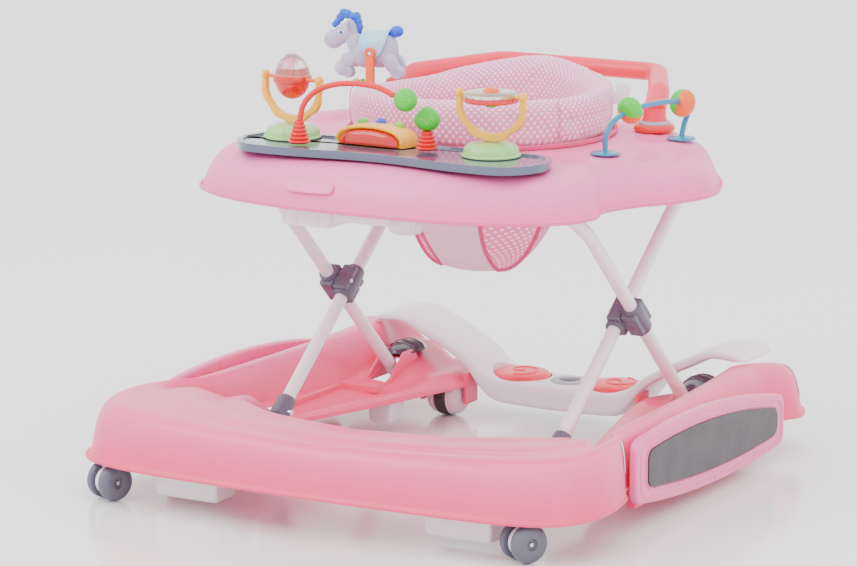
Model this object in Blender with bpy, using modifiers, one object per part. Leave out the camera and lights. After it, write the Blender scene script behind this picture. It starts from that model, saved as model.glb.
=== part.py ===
"""Baby walker: a fold-flat scissor walker with a toy tray, a ring seat, a push handle,
swivel casters, rear rollers and fold-down rocker panels.

Metres, +Z up. The walker faces -Y and stands on Z = 0; the origin is on the floor under the
middle of the base. Every moving piece has its object origin on its joint's axis.
"""
import math

import bmesh
import bpy
from mathutils import Matrix, Vector

# ---------------------------------------------------------------- driving dimensions
GAP = 0.0003                 # clearance between pieces that touch
RUN = 0.0004                 # radial clearance of pins, axles and wire in their bores
WALL = 0.0026                # moulded plastic wall

# base moulding
BASE_LENGTH = 0.695
BASE_WIDTH = 0.660
BASE_LIP_Z = 0.046           # lower edge of the base moulding
REAR_LIP = 0.00104           # how far the rear ends' rolled edge stands out
BASE_TOP_Z = 0.108
RAIL_OUTER_X = 0.297         # outer lip of the straight side rails
TROUGH_Z = 0.051             # floor of the well that the folded tubes drop into

# scissor frame: the outer loop pivots at the rear of the base, the inner loop slides in front
TUBE_R = 0.008
OUTER_TUBE_X = 0.204
INNER_TUBE_X = 0.184
CROSS_Y = 0.0675
CROSS_Z = 0.194
OUTER_ANGLE = math.radians(44)
INNER_ANGLE = math.radians(39)
LOWER_ARM = 0.200
OUTER_UPPER_ARM = 0.236
INNER_UPPER_ARM = 0.258
TUBE_BEND_R = 0.085
CLAMP_LENGTH = 0.046
CLAMP_DEPTH = 0.030
SHOE_LENGTH = 0.030
SHOE_R = 0.0115

# casters and rear rollers
CASTER_X = 0.270
CASTER_Y = -0.292
CASTER_R = 0.0215
CASTER_WHEEL_W = 0.0125
CASTER_TRAIL = 0.018
CASTER_BODY_W = 0.0125
CASTER_STEM_R = 0.0072
CASTER_AXLE_R = 0.0026
CASTER_TURN = {"left": math.radians(-22), "right": math.radians(-30)}
ROLLER_X = 0.150
ROLLER_Y = 0.251
ROLLER_R = 0.026
ROLLER_W = 0.050
ROLLER_BAND_W = 0.014

# lock levers on the rear of the rails
LEVER_Y = 0.240
LEVER_Z = 0.0785
LEVER_HALF_W = 0.020
LEVER_HALF_L = 0.033
LEVER_RISE = 0.012

# rocker panels on the sides
PANEL_FRONT_Y = -0.140
PANEL_REAR_Y = 0.243
PANEL_THICK = 0.011
PANEL_HINGE_Z = 0.024
PAD_THICK = 0.0022

# tray
TRAY_LIP_Z = 0.346
TRAY_TOP_Z = 0.396
SEAT_Y = 0.066               # centre of the round seat
SEAT_OPENING_R = 0.118
CUSHION_OUTER_R = 0.157
CUSHION_INNER_R = 0.118
CUSHION_HEIGHT = 0.055
CUSHION_BACK_RISE = 0.012
SLING_LOW_Z = 0.233
SLING_THICK = 0.004

# tray fittings
PANEL_TOP_Z = 0.404          # top of the dark toy panel
BASE_TOY_R = 0.033
BASE_TOY_H = 0.016
BRACKET_HALF = 0.037         # half the clear width between a bracket's arms
BRACKET_RISE = 0.058
BRACKET_THICK = 0.007
SWAY_GAP = 0.0024            # room under a bellows cone so that it can lean
WIRE_R = 0.0031
BEAD_BORE_R = 0.0062
HANDLE_R = 0.0105
HANDLE_BASE = Vector((0.177, 0.161))
HANDLE_CORNER = Vector((0.106, 0.311))
HANDLE_BAR_Z = 0.441
HORSE_X = -0.184
HORSE_Y = 0.1355
HORSE_PIVOT_Z = 0.467

SIDES = {"left": -1, "right": 1}

# ---------------------------------------------------------------- more sizes
# footboard and its buttons
FOOTBOARD_FRONT_Y = 0.243
FOOTBOARD_REAR_Y = 0.332
# x, lower height and upper height of the right half of the crossing board
FOOTBOARD_LINE = (
    (0.000, 0.020, 0.052),
    (0.060, 0.021, 0.053),
    (0.088, 0.025, 0.0555),
    (0.106, 0.040, 0.065),
    (0.122, 0.0605, 0.078),
    (0.148, 0.079, 0.093),
    (0.180, 0.094, 0.109),
    (0.212, 0.1095, 0.121),
    (0.240, 0.1095, 0.121),
    (0.258, 0.1098, 0.114),
)
LILY_X = 0.066
LILY_Y = 0.288
LILY_R = 0.036
MUSIC_BUTTON_R = 0.011
FOOT_BUTTON_FLOOR = 0.0445
FOOT_BUTTON_TRAVEL = 0.003

# outlines of the large mouldings, and the toys
# share of the way from the outer lip to the inner lip, and which height it takes
BASE_PROFILE = (
    (0.000, "lip", 0.000),
    (0.018, "lip", 0.0015),
    (0.036, "lip", 0.006),
    (0.054, "wall", 0.42),
    (0.085, "wall", 0.78),
    (0.130, "wall", 0.95),
    (0.200, "crest", 0.000),
    (0.290, "crest", -0.001),
    (0.350, "blend", 0.30),
    (0.400, "well_out", 0.002),
    (0.580, "well_out", 0.000),
    (0.760, "well_in", 0.000),
    (0.880, "well_in", -0.001),
    (0.940, "inner", 0.55),
    (0.975, "lip", 0.003),
    (1.000, "lip", -0.004),
)
SHOE_PLAY = 0.0006
# Right half of the tray's lip, from the middle of the front round to the middle of the rear.
TRAY_LIP = (
    (0.000, -0.243),
    (0.090, -0.240),
    (0.170, -0.221),
    (0.232, -0.182),
    (0.253, -0.132),
    (0.244, -0.088),
    (0.258, -0.040),
    (0.289, 0.010),
    (0.300, 0.065),
    (0.287, 0.118),
    (0.254, 0.176),
    (0.206, 0.236),
    (0.125, 0.290),
    (0.000, 0.300),
)
# share from lip to seat opening, height above the lip
TRAY_PROFILE = (
    (0.000, 0.0000),
    (0.020, 0.0020),
    (0.040, 0.0080),
    (0.085, 0.0240),
    (0.140, 0.0380),
    (0.220, 0.0455),
    (0.360, 0.0480),
    (0.640, 0.0497),
    (0.960, 0.0500),
    (1.000, 0.0480),
    (1.000, 0.0330),
)
TOY_LEFT = Vector((-0.140, -0.128, PANEL_TOP_Z))
TOY_RIGHT = Vector((0.120, -0.128, PANEL_TOP_Z))
BRACKET_TURN = {"left": math.radians(-9), "right": 0.0}
SPIN_HEIGHT = BASE_TOY_H + 0.052       # height of the spinning toys' axis above the panel
STALK_FOOT = Vector((-0.104, -0.172, PANEL_TOP_Z + SWAY_GAP))
BERRY_FOOT = Vector((0.044, -0.139, PANEL_TOP_Z + SWAY_GAP))
CONE_HEIGHT = 0.026
BERRY_CONE_HEIGHT = 0.021
CONE_R = 0.0135
STALK_R = 0.0032
MUSIC_CENTRE = Vector((-0.030, -0.122, PANEL_TOP_Z))
MUSIC_HALF_WIDTH = 0.047
MUSIC_DEPTH = 0.036
MUSIC_HEIGHT = 0.024
MUSIC_BUTTONS = (("green", -0.024), ("blue", 0.0), ("lime", 0.024))
BEAD_WIRE_LINE = (
    (0.2025, -0.012, TRAY_TOP_Z + 0.0020),
    (0.2030, -0.011, TRAY_TOP_Z + 0.0210),
    (0.2080, -0.001, TRAY_TOP_Z + 0.0370),
    (0.2170, 0.020, TRAY_TOP_Z + 0.0460),
    (0.2270, 0.048, TRAY_TOP_Z + 0.0500),
    (0.2350, 0.080, TRAY_TOP_Z + 0.0500),
    (0.2400, 0.108, TRAY_TOP_Z + 0.0450),
    (0.2400, 0.124, TRAY_TOP_Z + 0.0360),
    (0.2330, 0.1265, TRAY_TOP_Z + 0.0180),
    (0.2300, 0.125, TRAY_TOP_Z + 0.0020),
)
BEAD_PLACES = (("front", 0.335), ("rear", 0.655))


# ---------------------------------------------------------------- colours
PALETTE = {
    "base_pink": ((0.93, 0.42, 0.52), 0.38, 0.0),
    "tray_pink": ((0.93, 0.55, 0.68), 0.40, 0.0),
    "panel_pink": ((0.90, 0.55, 0.70), 0.35, 0.0),
    "coral": ((0.90, 0.30, 0.40), 0.38, 0.0),
    "white_plastic": ((0.88, 0.85, 0.87), 0.35, 0.0),
    "white_paint": ((0.90, 0.88, 0.90), 0.28, 0.0),
    "grey_plastic": ((0.16, 0.16, 0.19), 0.42, 0.0),
    "rubber": ((0.07, 0.07, 0.075), 0.70, 0.0),
    "slate_gloss": ((0.11, 0.12, 0.16), 0.18, 0.0),
    "mint": ((0.42, 0.60, 0.36), 0.25, 0.0),
    "yellow": ((0.98, 0.55, 0.01), 0.30, 0.0),
    "red": ((0.80, 0.02, 0.04), 0.35, 0.0),
    "orange": ((0.95, 0.25, 0.03), 0.32, 0.0),
    "green": ((0.10, 0.50, 0.08), 0.35, 0.0),
    "teal": ((0.01, 0.30, 0.42), 0.30, 0.0),
    "blue": ((0.06, 0.22, 0.65), 0.35, 0.0),
    "horse_grey": ((0.55, 0.55, 0.62), 0.35, 0.0),
    "fabric_pink": ((0.82, 0.45, 0.58), 0.95, 0.0),
    "sling_pink": ((0.78, 0.60, 0.68), 0.95, 0.0),
}


# ---------------------------------------------------------------- scene helpers
def clear_scene():
    for obj in list(bpy.data.objects):
        bpy.data.objects.remove(obj, do_unlink=True)


def new_collection(name):
    collection = bpy.data.collections.new(name)
    bpy.context.scene.collection.children.link(collection)
    return collection


def make_materials():
    made = {}
    for name, (colour, roughness, metallic) in PALETTE.items():
        material = bpy.data.materials.new(name)
        material.use_nodes = True
        shader = material.node_tree.nodes["Principled BSDF"]
        shader.inputs["Base Color"].default_value = (*colour, 1.0)
        shader.inputs["Roughness"].default_value = roughness
        shader.inputs["Metallic"].default_value = metallic
        made[name] = material
    return made


def add_part(name, bm, material, origin=(0, 0, 0), smooth_angle=35):
    """Turn a bmesh in world coordinates into a named part whose origin is at `origin`."""
    bmesh.ops.recalc_face_normals(bm, faces=bm.faces)
    if bm.calc_volume(signed=True) < 0 and all(edge.is_manifold for edge in bm.edges):
        bmesh.ops.reverse_faces(bm, faces=bm.faces)
    bmesh.ops.translate(bm, verts=bm.verts, vec=-Vector(origin))
    mesh = bpy.data.meshes.new(name)
    bm.to_mesh(mesh)
    bm.free()
    mesh.shade_smooth()
    mesh.set_sharp_from_angle(angle=math.radians(smooth_angle))
    mesh.materials.append(MATERIALS[material])
    obj = bpy.data.objects.new(name, mesh)
    obj.location = origin
    PARTS.objects.link(obj)
    return obj


def add_cutter(name, bm, location=(0, 0, 0)):
    bmesh.ops.recalc_face_normals(bm, faces=bm.faces)
    mesh = bpy.data.meshes.new(name)
    bm.to_mesh(mesh)
    bm.free()
    obj = bpy.data.objects.new(name, mesh)
    obj.location = location
    obj.hide_render = True
    obj.display_type = "WIRE"
    CUTTERS.objects.link(obj)
    return obj


def boolean(obj, cutter, operation="DIFFERENCE"):
    modifier = obj.modifiers.new(cutter.name, "BOOLEAN")
    modifier.operation = operation
    modifier.object = cutter
    modifier.solver = "EXACT"
    return modifier


# ---------------------------------------------------------------- shape helpers
def box_bmesh(low, high, bevel=0.0):
    bm = bmesh.new()
    bmesh.ops.create_cube(bm, size=1.0)
    low, high = Vector(low), Vector(high)
    bmesh.ops.scale(bm, verts=bm.verts, vec=high - low)
    bmesh.ops.translate(bm, verts=bm.verts, vec=(low + high) / 2)
    if bevel:
        bmesh.ops.bevel(bm, geom=list(bm.edges), offset=bevel, segments=2, profile=0.7, affect="EDGES")
    return bm


def cylinder_bmesh(centre, axis, radius, length, segments=24):
    bm = bmesh.new()
    turn = Vector((0, 0, 1)).rotation_difference(Vector(axis).normalized()).to_matrix().to_4x4()
    place = Matrix.Translation(Vector(centre)) @ turn
    bmesh.ops.create_cone(bm, cap_ends=True, segments=segments, radius1=radius, radius2=radius,
                          depth=length, matrix=place)
    return bm


def turned_bmesh(profile, centre, axis=(0, 0, 1), segments=24):
    """Spin a profile of (radius, height) pairs about `axis`. A radius of 0 closes on the axis;
    a profile whose ends are both off the axis is closed into a ring."""
    bm = bmesh.new()
    rings = []
    for radius, height in profile:
        if radius == 0:
            rings.append([bm.verts.new((0, 0, height))])
            continue
        ring = []
        for k in range(segments):
            angle = 2 * math.pi * k / segments
            ring.append(bm.verts.new((radius * math.cos(angle), radius * math.sin(angle), height)))
        rings.append(ring)
    pairs = list(zip(rings, rings[1:]))
    if len(rings[0]) > 1 and len(rings[-1]) > 1:
        pairs.append((rings[-1], rings[0]))
    for first, second in pairs:
        bridge(bm, first, second)
    turn = Vector((0, 0, 1)).rotation_difference(Vector(axis).normalized()).to_matrix().to_4x4()
    bmesh.ops.transform(bm, matrix=Matrix.Translation(Vector(centre)) @ turn, verts=bm.verts)
    return bm


def bridge(bm, first, second, closed=True):
    """Join two rings of vertices with faces; either may be a single point."""
    count = max(len(first), len(second))
    steps = count if closed else count - 1
    for k in range(steps):
        after = (k + 1) % count
        corners = [first[k % len(first)], first[after % len(first)],
                   second[after % len(second)], second[k % len(second)]]
        unique = []
        for vert in corners:
            if vert not in unique:
                unique.append(vert)
        bm.faces.new(unique)


def ball_bmesh(centre, radii, segments=16, rings=10, turn=None):
    bm = bmesh.new()
    bmesh.ops.create_uvsphere(bm, u_segments=segments, v_segments=rings, radius=1.0)
    bmesh.ops.scale(bm, verts=bm.verts, vec=Vector(radii))
    if turn is not None:
        bmesh.ops.transform(bm, matrix=turn, verts=bm.verts)
    bmesh.ops.translate(bm, verts=bm.verts, vec=Vector(centre))
    return bm


def plate_bmesh(outline, thickness, frame, holes=()):
    """Extrude a flat outline: `frame` takes (u, v, w) to world, and w is the thickness."""
    curve = bpy.data.curves.new("outline", "CURVE")
    curve.dimensions = "2D"
    curve.fill_mode = "BOTH"
    curve.extrude = thickness / 2
    for loop in (outline, *holes):
        spline = curve.splines.new("POLY")
        spline.points.add(len(loop) - 1)
        for point, (u, v) in zip(spline.points, loop):
            point.co = (u, v, 0, 1)
        spline.use_cyclic_u = True
    return curve_to_bmesh(curve, frame)


def curve_to_bmesh(curve, frame=None):
    """Evaluate a curve to a welded, closed bmesh."""
    guide = bpy.data.objects.new("guide", curve)
    bpy.context.scene.collection.objects.link(guide)
    bpy.context.view_layer.update()
    evaluated = guide.evaluated_get(bpy.context.evaluated_depsgraph_get())
    mesh = bpy.data.meshes.new_from_object(evaluated)
    bm = bmesh.new()
    bm.from_mesh(mesh)
    bmesh.ops.remove_doubles(bm, verts=bm.verts, dist=0.00001)
    if frame is not None:
        bmesh.ops.transform(bm, matrix=frame, verts=bm.verts)
    bpy.data.objects.remove(guide, do_unlink=True)
    bpy.data.curves.remove(curve)
    bpy.data.meshes.remove(mesh)
    return bm


def tube_bmesh(points, radius, resolution=2):
    curve = bpy.data.curves.new("tube", "CURVE")
    curve.dimensions = "3D"
    curve.bevel_depth = radius
    curve.bevel_resolution = resolution
    curve.use_fill_caps = True
    spline = curve.splines.new("POLY")
    spline.points.add(len(points) - 1)
    for point, place in zip(spline.points, points):
        point.co = (*place, 1)
    return curve_to_bmesh(curve)


def fillet_path(corners, radius, steps=7):
    """A polyline through `corners` with each inner corner rounded to `radius`."""
    corners = [Vector(corner) for corner in corners]
    path = [corners[0]]
    for before, corner, after in zip(corners, corners[1:], corners[2:]):
        into = (corner - before).normalized()
        out = (after - corner).normalized()
        turn = into.angle(out)
        reach = radius * math.tan(turn / 2)
        start = corner - into * reach
        side = (out - into * out.dot(into)).normalized()
        for k in range(steps + 1):
            angle = turn * k / steps
            path.append(start + into * radius * math.sin(angle) + side * radius * (1 - math.cos(angle)))
    path.append(corners[-1])
    return path


def smooth_path(points, steps=6):
    """Catmull-Rom curve through `points`."""
    points = [Vector(point) for point in points]
    padded = [2 * points[0] - points[1], *points, 2 * points[-1] - points[-2]]
    path = []
    for a, b, c, d in zip(padded, padded[1:], padded[2:], padded[3:]):
        for k in range(steps):
            t = k / steps
            path.append(0.5 * (2 * b + (c - a) * t + (2 * a - 5 * b + 4 * c - d) * t * t
                               + (3 * b - a - 3 * c + d) * t ** 3))
    path.append(points[-1])
    return path


def loft_open(rings):
    """A strip of faces through a list of open rings of points, as an open surface."""
    bm = bmesh.new()
    made = [[bm.verts.new(point) for point in ring] for ring in rings]
    for first, second in zip(made, made[1:]):
        bridge(bm, first, second, closed=False)
    return bm


def loft_solid(rings):
    """A closed solid through closed rings of points, with flat end faces."""
    bm = bmesh.new()
    made = [[bm.verts.new(point) for point in ring] for ring in rings]
    for first, second in zip(made, made[1:]):
        bridge(bm, first, second)
    bm.faces.new(made[0])
    bm.faces.new(made[-1])
    return bm


def rounded_rectangle(half_u, half_v, radius, steps=4):
    loop = []
    for quarter, (su, sv) in enumerate(((1, 1), (-1, 1), (-1, -1), (1, -1))):
        for k in range(steps + 1):
            angle = math.pi / 2 * (quarter + k / steps)
            loop.append((su * (half_u - radius) + radius * math.cos(angle),
                         sv * (half_v - radius) + radius * math.sin(angle)))
    return loop


# ---------------------------------------------------------------- scissor geometry
def cross_point():
    return Vector((0, CROSS_Y, CROSS_Z))


def outer_direction():
    """From the rear foot up and forward."""
    return Vector((0, -math.cos(OUTER_ANGLE), math.sin(OUTER_ANGLE)))


def inner_direction():
    """From the front shoe up and back."""
    return Vector((0, math.cos(INNER_ANGLE), math.sin(INNER_ANGLE)))


def rear_pivot():
    return cross_point() - outer_direction() * LOWER_ARM


def front_pivot():
    return cross_point() - inner_direction() * LOWER_ARM


def outer_top():
    return cross_point() + outer_direction() * OUTER_UPPER_ARM


def inner_top():
    return cross_point() + inner_direction() * INNER_UPPER_ARM


# ---------------------------------------------------------------- base moulding
# Stations along the right half of the U-shaped base, from the middle of the front bar round to
# the rear end of the rail: outer lip (x, y), inner lip (x, y), crest height, well height at its
# outer and inner side.
def base_stations():
    front = -BASE_LENGTH / 2
    rear = BASE_LENGTH / 2
    wide = BASE_WIDTH / 2
    rail = RAIL_OUTER_X
    top = BASE_TOP_Z
    well = TROUGH_Z
    return [
        ((0.000, front), (0.000, front + 0.140), top - 0.008, top - 0.008, top - 0.012),
        ((0.130, front + 0.003), (0.110, front + 0.155), top - 0.005, top - 0.005, top - 0.010),
        ((0.245, front + 0.011), (0.163, front + 0.192), top - 0.001, top - 0.002, top - 0.010),
        ((0.308, front + 0.038), (0.191, front + 0.228), top + 0.001, top - 0.002, top - 0.014),
        ((wide, front + 0.097), (0.200, front + 0.262), top + 0.001, top - 0.006, top - 0.022),
        ((wide - 0.010, front + 0.167), (0.200, front + 0.287), top - 0.001, 0.075, 0.066),
        ((rail + 0.003, front + 0.207), (0.190, front + 0.315), top - 0.003, well + 0.003, well),
        ((rail, front + 0.320), (0.177, front + 0.355), top - 0.004, well, well - 0.002),
        ((rail, 0.080), (0.154, 0.085), top - 0.004, well, well - 0.002),
        ((rail, 0.165), (0.134, 0.160), top - 0.003, well + 0.002, well - 0.002),
        ((rail, 0.215), (0.122, 0.205), top - 0.001, 0.066, 0.056),
        ((rail + 0.001, 0.244), (0.117, 0.240), top, 0.074, 0.056),
        ((wide - 0.014, 0.282), (0.124, 0.275), top - 0.002, 0.078, 0.054),
        ((wide - 0.026, 0.318), (0.140, 0.305), top - 0.010, 0.076, 0.054),
        ((wide - 0.056, rear - 0.006), (0.165, 0.328), top - 0.030, 0.066, 0.052),
        ((wide - 0.085, rear), (0.190, rear - 0.008), BASE_LIP_Z + 0.004, BASE_LIP_Z + 0.003, BASE_LIP_Z),
    ]


def profile_height(kind, amount, crest, well_out, well_in):
    lip = BASE_LIP_Z
    if kind == "lip":
        return lip + amount
    if kind == "wall":
        return lip + (crest - lip) * amount
    if kind == "crest":
        return crest + amount
    if kind == "blend":
        return well_out + (crest - well_out) * amount
    if kind == "well_out":
        return well_out + amount
    if kind == "well_in":
        return well_in + amount
    return lip + (well_in - lip) * amount


def base_rings(steps=2):
    stations = base_stations()
    outer = smooth_path([(*s[0], 0) for s in stations], steps)
    inner = smooth_path([(*s[1], 0) for s in stations], steps)
    heights = smooth_path([s[2:5] for s in stations], steps)
    rings = []
    for out, into, (crest, well_out, well_in) in zip(outer, inner, heights):
        out.y = min(out.y, BASE_LENGTH / 2 - REAR_LIP)
        ring = []
        for share, kind, amount in BASE_PROFILE:
            place = out.lerp(into, share)
            ring.append((place.x, place.y, profile_height(kind, amount, crest, well_out, well_in)))
        rings.append(ring)
    rings[0] = [(0.0, y, z) for _, y, z in rings[0]]
    return rings


def base_shell():
    bm = loft_open(base_rings())
    obj = add_part("base_shell", bm, "base_pink", smooth_angle=50)
    mirror = obj.modifiers.new("Mirror", "MIRROR")
    mirror.use_axis = (True, False, False)
    mirror.merge_threshold = 0.0001
    solid = obj.modifiers.new("Solidify", "SOLIDIFY")
    solid.thickness = WALL
    solid.offset = -1
    solid.use_even_offset = False
    for side, sign in SIDES.items():
        stem_hole = cylinder_bmesh((sign * CASTER_X, CASTER_Y, 0.05), (0, 0, 1), CASTER_STEM_R + RUN, 0.08, 20)
        boolean(obj, add_cutter("caster_hole_" + side, stem_hole))
        boolean(obj, shoe_slot_cutter(side, sign))
        boolean(obj, rear_foot_cutter(side, sign))
    return obj


def shoe_slot_cutter(side, sign):
    """The way through the front wall that the sliding shoe and its tube take as it folds."""
    x = sign * INNER_TUBE_X
    half = SHOE_R + 0.004
    low = (x - half, -0.235, BASE_LIP_Z - 0.020)
    high = (x + half, front_pivot().y + 0.040, 0.090)
    return add_cutter("shoe_slot_" + side, box_bmesh(low, high))


def rear_foot_cutter(side, sign):
    """The notch that the outer tube drops through to its pivot."""
    x = sign * OUTER_TUBE_X
    half = TUBE_R + 0.004
    pivot = rear_pivot()
    low = (x - half, pivot.y - 0.045, pivot.z - 0.030)
    high = (x + half, pivot.y + 0.016, 0.120)
    return add_cutter("rear_foot_notch_" + side, box_bmesh(low, high))


def stoppers():
    """Square pads that meet the floor when a wheel drops over a step."""
    front_half = (0.044, 0.024)
    rear_half = (0.017, 0.018)
    for side, sign in SIDES.items():
        x = sign * 0.177
        low = (x - front_half[0], -0.282 - front_half[1], 0.010)
        high = (x + front_half[0], -0.282 + front_half[1], 0.088)
        add_part("stopper_front_" + side, box_bmesh(low, high, 0.003), "white_plastic")
        x = sign * 0.172
        low = (x - rear_half[0], 0.135 - rear_half[1], 0.012)
        high = (x + rear_half[0], 0.135 + rear_half[1], TROUGH_Z - WALL - 0.005)
        add_part("stopper_rear_" + side, box_bmesh(low, high, 0.002), "white_plastic")


# ---------------------------------------------------------------- footboard


def footboard():
    """A wave-shaped board across the rear: low in the middle, over the rail at each side."""
    right = list(FOOTBOARD_LINE)
    line = [(-x, low, high) for x, low, high in reversed(right[1:])] + right
    smooth = smooth_path(line, 2)
    rings = []
    for x, low, high in smooth:
        y0, y1 = FOOTBOARD_FRONT_Y, FOOTBOARD_REAR_Y
        round_over = min(0.012, (high - low) * 0.45)
        rings.append([(x, y0, low), (x, y0, high - round_over), (x, y0 + round_over * 0.5, high - round_over * 0.3),
                      (x, y0 + round_over * 1.4, high), (x, y1 - round_over * 1.4, high),
                      (x, y1 - round_over * 0.5, high - round_over * 0.3),
                      (x, y1, high - round_over), (x, y1, low)])
    obj = add_part("footboard", loft_solid(rings), "white_plastic", smooth_angle=50)
    for name, centre in (("button_well_left", (-LILY_X, LILY_Y)), ("button_well_right", (LILY_X, LILY_Y)),
                         ("button_well_middle", (0.0, LILY_Y))):
        radius = MUSIC_BUTTON_R if name.endswith("middle") else LILY_R
        well = cylinder_bmesh((*centre, FOOT_BUTTON_FLOOR + 0.02), (0, 0, 1), radius + 0.0012, 0.04, 24)
        boolean(obj, add_cutter(name, well))
    return obj


def foot_buttons():
    """The leaf-shaped pads and the round button that a foot presses."""
    bottom = FOOT_BUTTON_FLOOR + FOOT_BUTTON_TRAVEL + GAP
    for side, sign in SIDES.items():
        profile = [(0, 0.0115), (LILY_R * 0.55, 0.0112), (LILY_R * 0.88, 0.0095), (LILY_R, 0.0062),
                   (LILY_R, 0.0), (0, 0.0)]
        centre = (sign * LILY_X, LILY_Y, bottom)
        add_part("lily_pad_" + side, turned_bmesh(profile, centre, segments=28), "coral", centre)
    profile = [(0, 0.0085), (MUSIC_BUTTON_R * 0.7, 0.0078), (MUSIC_BUTTON_R, 0.0055), (MUSIC_BUTTON_R, 0.0), (0, 0.0)]
    centre = (0, LILY_Y, bottom)
    add_part("music_button", turned_bmesh(profile, centre, segments=20), "grey_plastic", centre)


# ---------------------------------------------------------------- wheels
def caster_wheel_centre(side):
    turn = Matrix.Rotation(CASTER_TURN[side], 3, "Z")
    pivot = Vector((SIDES[side] * CASTER_X, CASTER_Y, CASTER_R))
    return pivot - turn @ Vector((0, CASTER_TRAIL, 0)), turn @ Vector((1, 0, 0))


def casters():
    for side, sign in SIDES.items():
        centre, axle = caster_wheel_centre(side)
        pivot = Vector((sign * CASTER_X, CASTER_Y, 0))
        add_caster_fork(side, pivot, centre, axle)
        offset = CASTER_BODY_W / 2 + RUN * 2 + CASTER_WHEEL_W / 2
        for place, direction in (("outer", sign), ("inner", -sign)):
            middle = centre + axle * direction * offset
            name = "caster_wheel_{}_{}".format(side, place)
            add_part(name, wheel_bmesh(middle, axle), "grey_plastic", middle)


def add_caster_fork(side, pivot, centre, axle):
    low = CASTER_R * 2 - 0.002
    stem_height = BASE_TOP_Z - 0.012 - low
    stem_centre = pivot + Vector((0, 0, low + stem_height / 2))
    stem = cylinder_bmesh(stem_centre, (0, 0, 1), CASTER_STEM_R, stem_height, 20)
    obj = add_part("caster_fork_" + side, stem, "white_plastic", pivot + Vector((0, 0, low)))
    neck = box_bmesh((-CASTER_BODY_W / 2 + 0.001, -CASTER_TRAIL - 0.006, CASTER_R - 0.004),
                     (CASTER_BODY_W / 2 - 0.001, 0.006, CASTER_R * 2))
    turn = Matrix.Translation(pivot) @ Matrix.Rotation(CASTER_TURN[side], 4, "Z")
    bmesh.ops.transform(neck, matrix=turn, verts=neck.verts)
    boolean(obj, add_cutter("caster_neck_" + side, neck), "UNION")
    shield = turned_bmesh([(0, CASTER_BODY_W / 2), (0.0165, CASTER_BODY_W / 2), (0.0165, -CASTER_BODY_W / 2),
                           (0, -CASTER_BODY_W / 2)], centre, axle, 24)
    pin_length = CASTER_BODY_W + 2 * CASTER_WHEEL_W + 0.001
    pin = cylinder_bmesh(centre, axle, CASTER_AXLE_R, pin_length, 12)
    boolean(obj, add_cutter("caster_shield_" + side, shield), "UNION")
    boolean(obj, add_cutter("caster_pin_" + side, pin), "UNION")
    return obj


def wheel_bmesh(centre, axis):
    half = CASTER_WHEEL_W / 2
    bore = CASTER_AXLE_R + RUN
    profile = [(bore, half), (CASTER_R - 0.004, half), (CASTER_R - 0.001, half - 0.0012), (CASTER_R, half - 0.003),
               (CASTER_R, -half + 0.003), (CASTER_R - 0.001, -half + 0.0012), (CASTER_R - 0.004, -half),
               (bore, -half)]
    return turned_bmesh(profile, centre, axis, 24)


def rear_rollers():
    """A wide plastic roller with a rubber band let into its middle."""
    half = ROLLER_W / 2
    band = ROLLER_BAND_W / 2
    seat_r = ROLLER_R - 0.0035
    for side, sign in SIDES.items():
        centre = (sign * ROLLER_X, ROLLER_Y, ROLLER_R)
        hub = [(0, half), (0.010, half), (0.019, half - 0.005), (0.0235, half - 0.011), (0.0252, band + 0.001),
               (seat_r, band + 0.0006), (seat_r, -band - 0.0006), (0.0252, -band - 0.001),
               (0.0235, -half + 0.011), (0.019, -half + 0.005), (0.010, -half), (0, -half)]
        add_part("rear_hub_" + side, turned_bmesh(hub, centre, (1, 0, 0), 24), "white_plastic", centre)
        tyre = [(seat_r + GAP, band), (ROLLER_R - 0.0006, band), (ROLLER_R, band - 0.001), (ROLLER_R, -band + 0.001),
                (ROLLER_R - 0.0006, -band), (seat_r + GAP, -band)]
        add_part("rear_tyre_" + side, turned_bmesh(tyre, centre, (1, 0, 0), 24), "rubber", centre)


# ---------------------------------------------------------------- lock levers and rocker panels
def lock_levers():
    for side, sign in SIDES.items():
        x = sign * OUTER_TUBE_X
        centre = Vector((x, LEVER_Y, LEVER_Z))
        pivot = centre - Vector((0, LEVER_HALF_L, 0))
        dome = ball_bmesh(centre, (LEVER_HALF_W, LEVER_HALF_L, LEVER_RISE), 20, 12)
        bmesh.ops.bisect_plane(dome, geom=dome.verts[:] + dome.edges[:] + dome.faces[:], dist=0.00001,
                               plane_co=centre, plane_no=(0, 0, -1), clear_outer=True)
        bmesh.ops.holes_fill(dome, edges=dome.edges, sides=0)
        add_part("lock_lever_" + side, dome, "slate_gloss", pivot)


def panel_edge(y):
    """Lower and upper edge of a rocker panel at y: both bow outwards, and the panel falls to the rear."""
    share = (y - PANEL_FRONT_Y) / (PANEL_REAR_Y - PANEL_FRONT_Y)
    bow = 4 * share * (1 - share)
    low = 0.030 - 0.009 * share - 0.012 * bow
    high = 0.101 - 0.021 * share + 0.017 * bow
    return low, high


def panel_outline(inset_low, inset_high, inset_end, corner, count=14):
    """Outline of a rocker panel in (y, z), inset from its edges, with rounded corners."""
    front = PANEL_FRONT_Y + inset_end
    rear = PANEL_REAR_Y - inset_end
    lower, upper = [], []
    for k in range(count + 1):
        y = front + (rear - front) * (0.5 - 0.5 * math.cos(math.pi * k / count))
        low, high = panel_edge(y)
        low += inset_low
        high -= inset_high
        end = min(y - front, rear - y)
        if end < corner:
            squeeze = corner - math.sqrt(max(0.0, corner ** 2 - (corner - end) ** 2))
            low += squeeze
            high -= squeeze
        lower.append((y, low))
        upper.append((y, high))
    return lower + upper[::-1]


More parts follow.
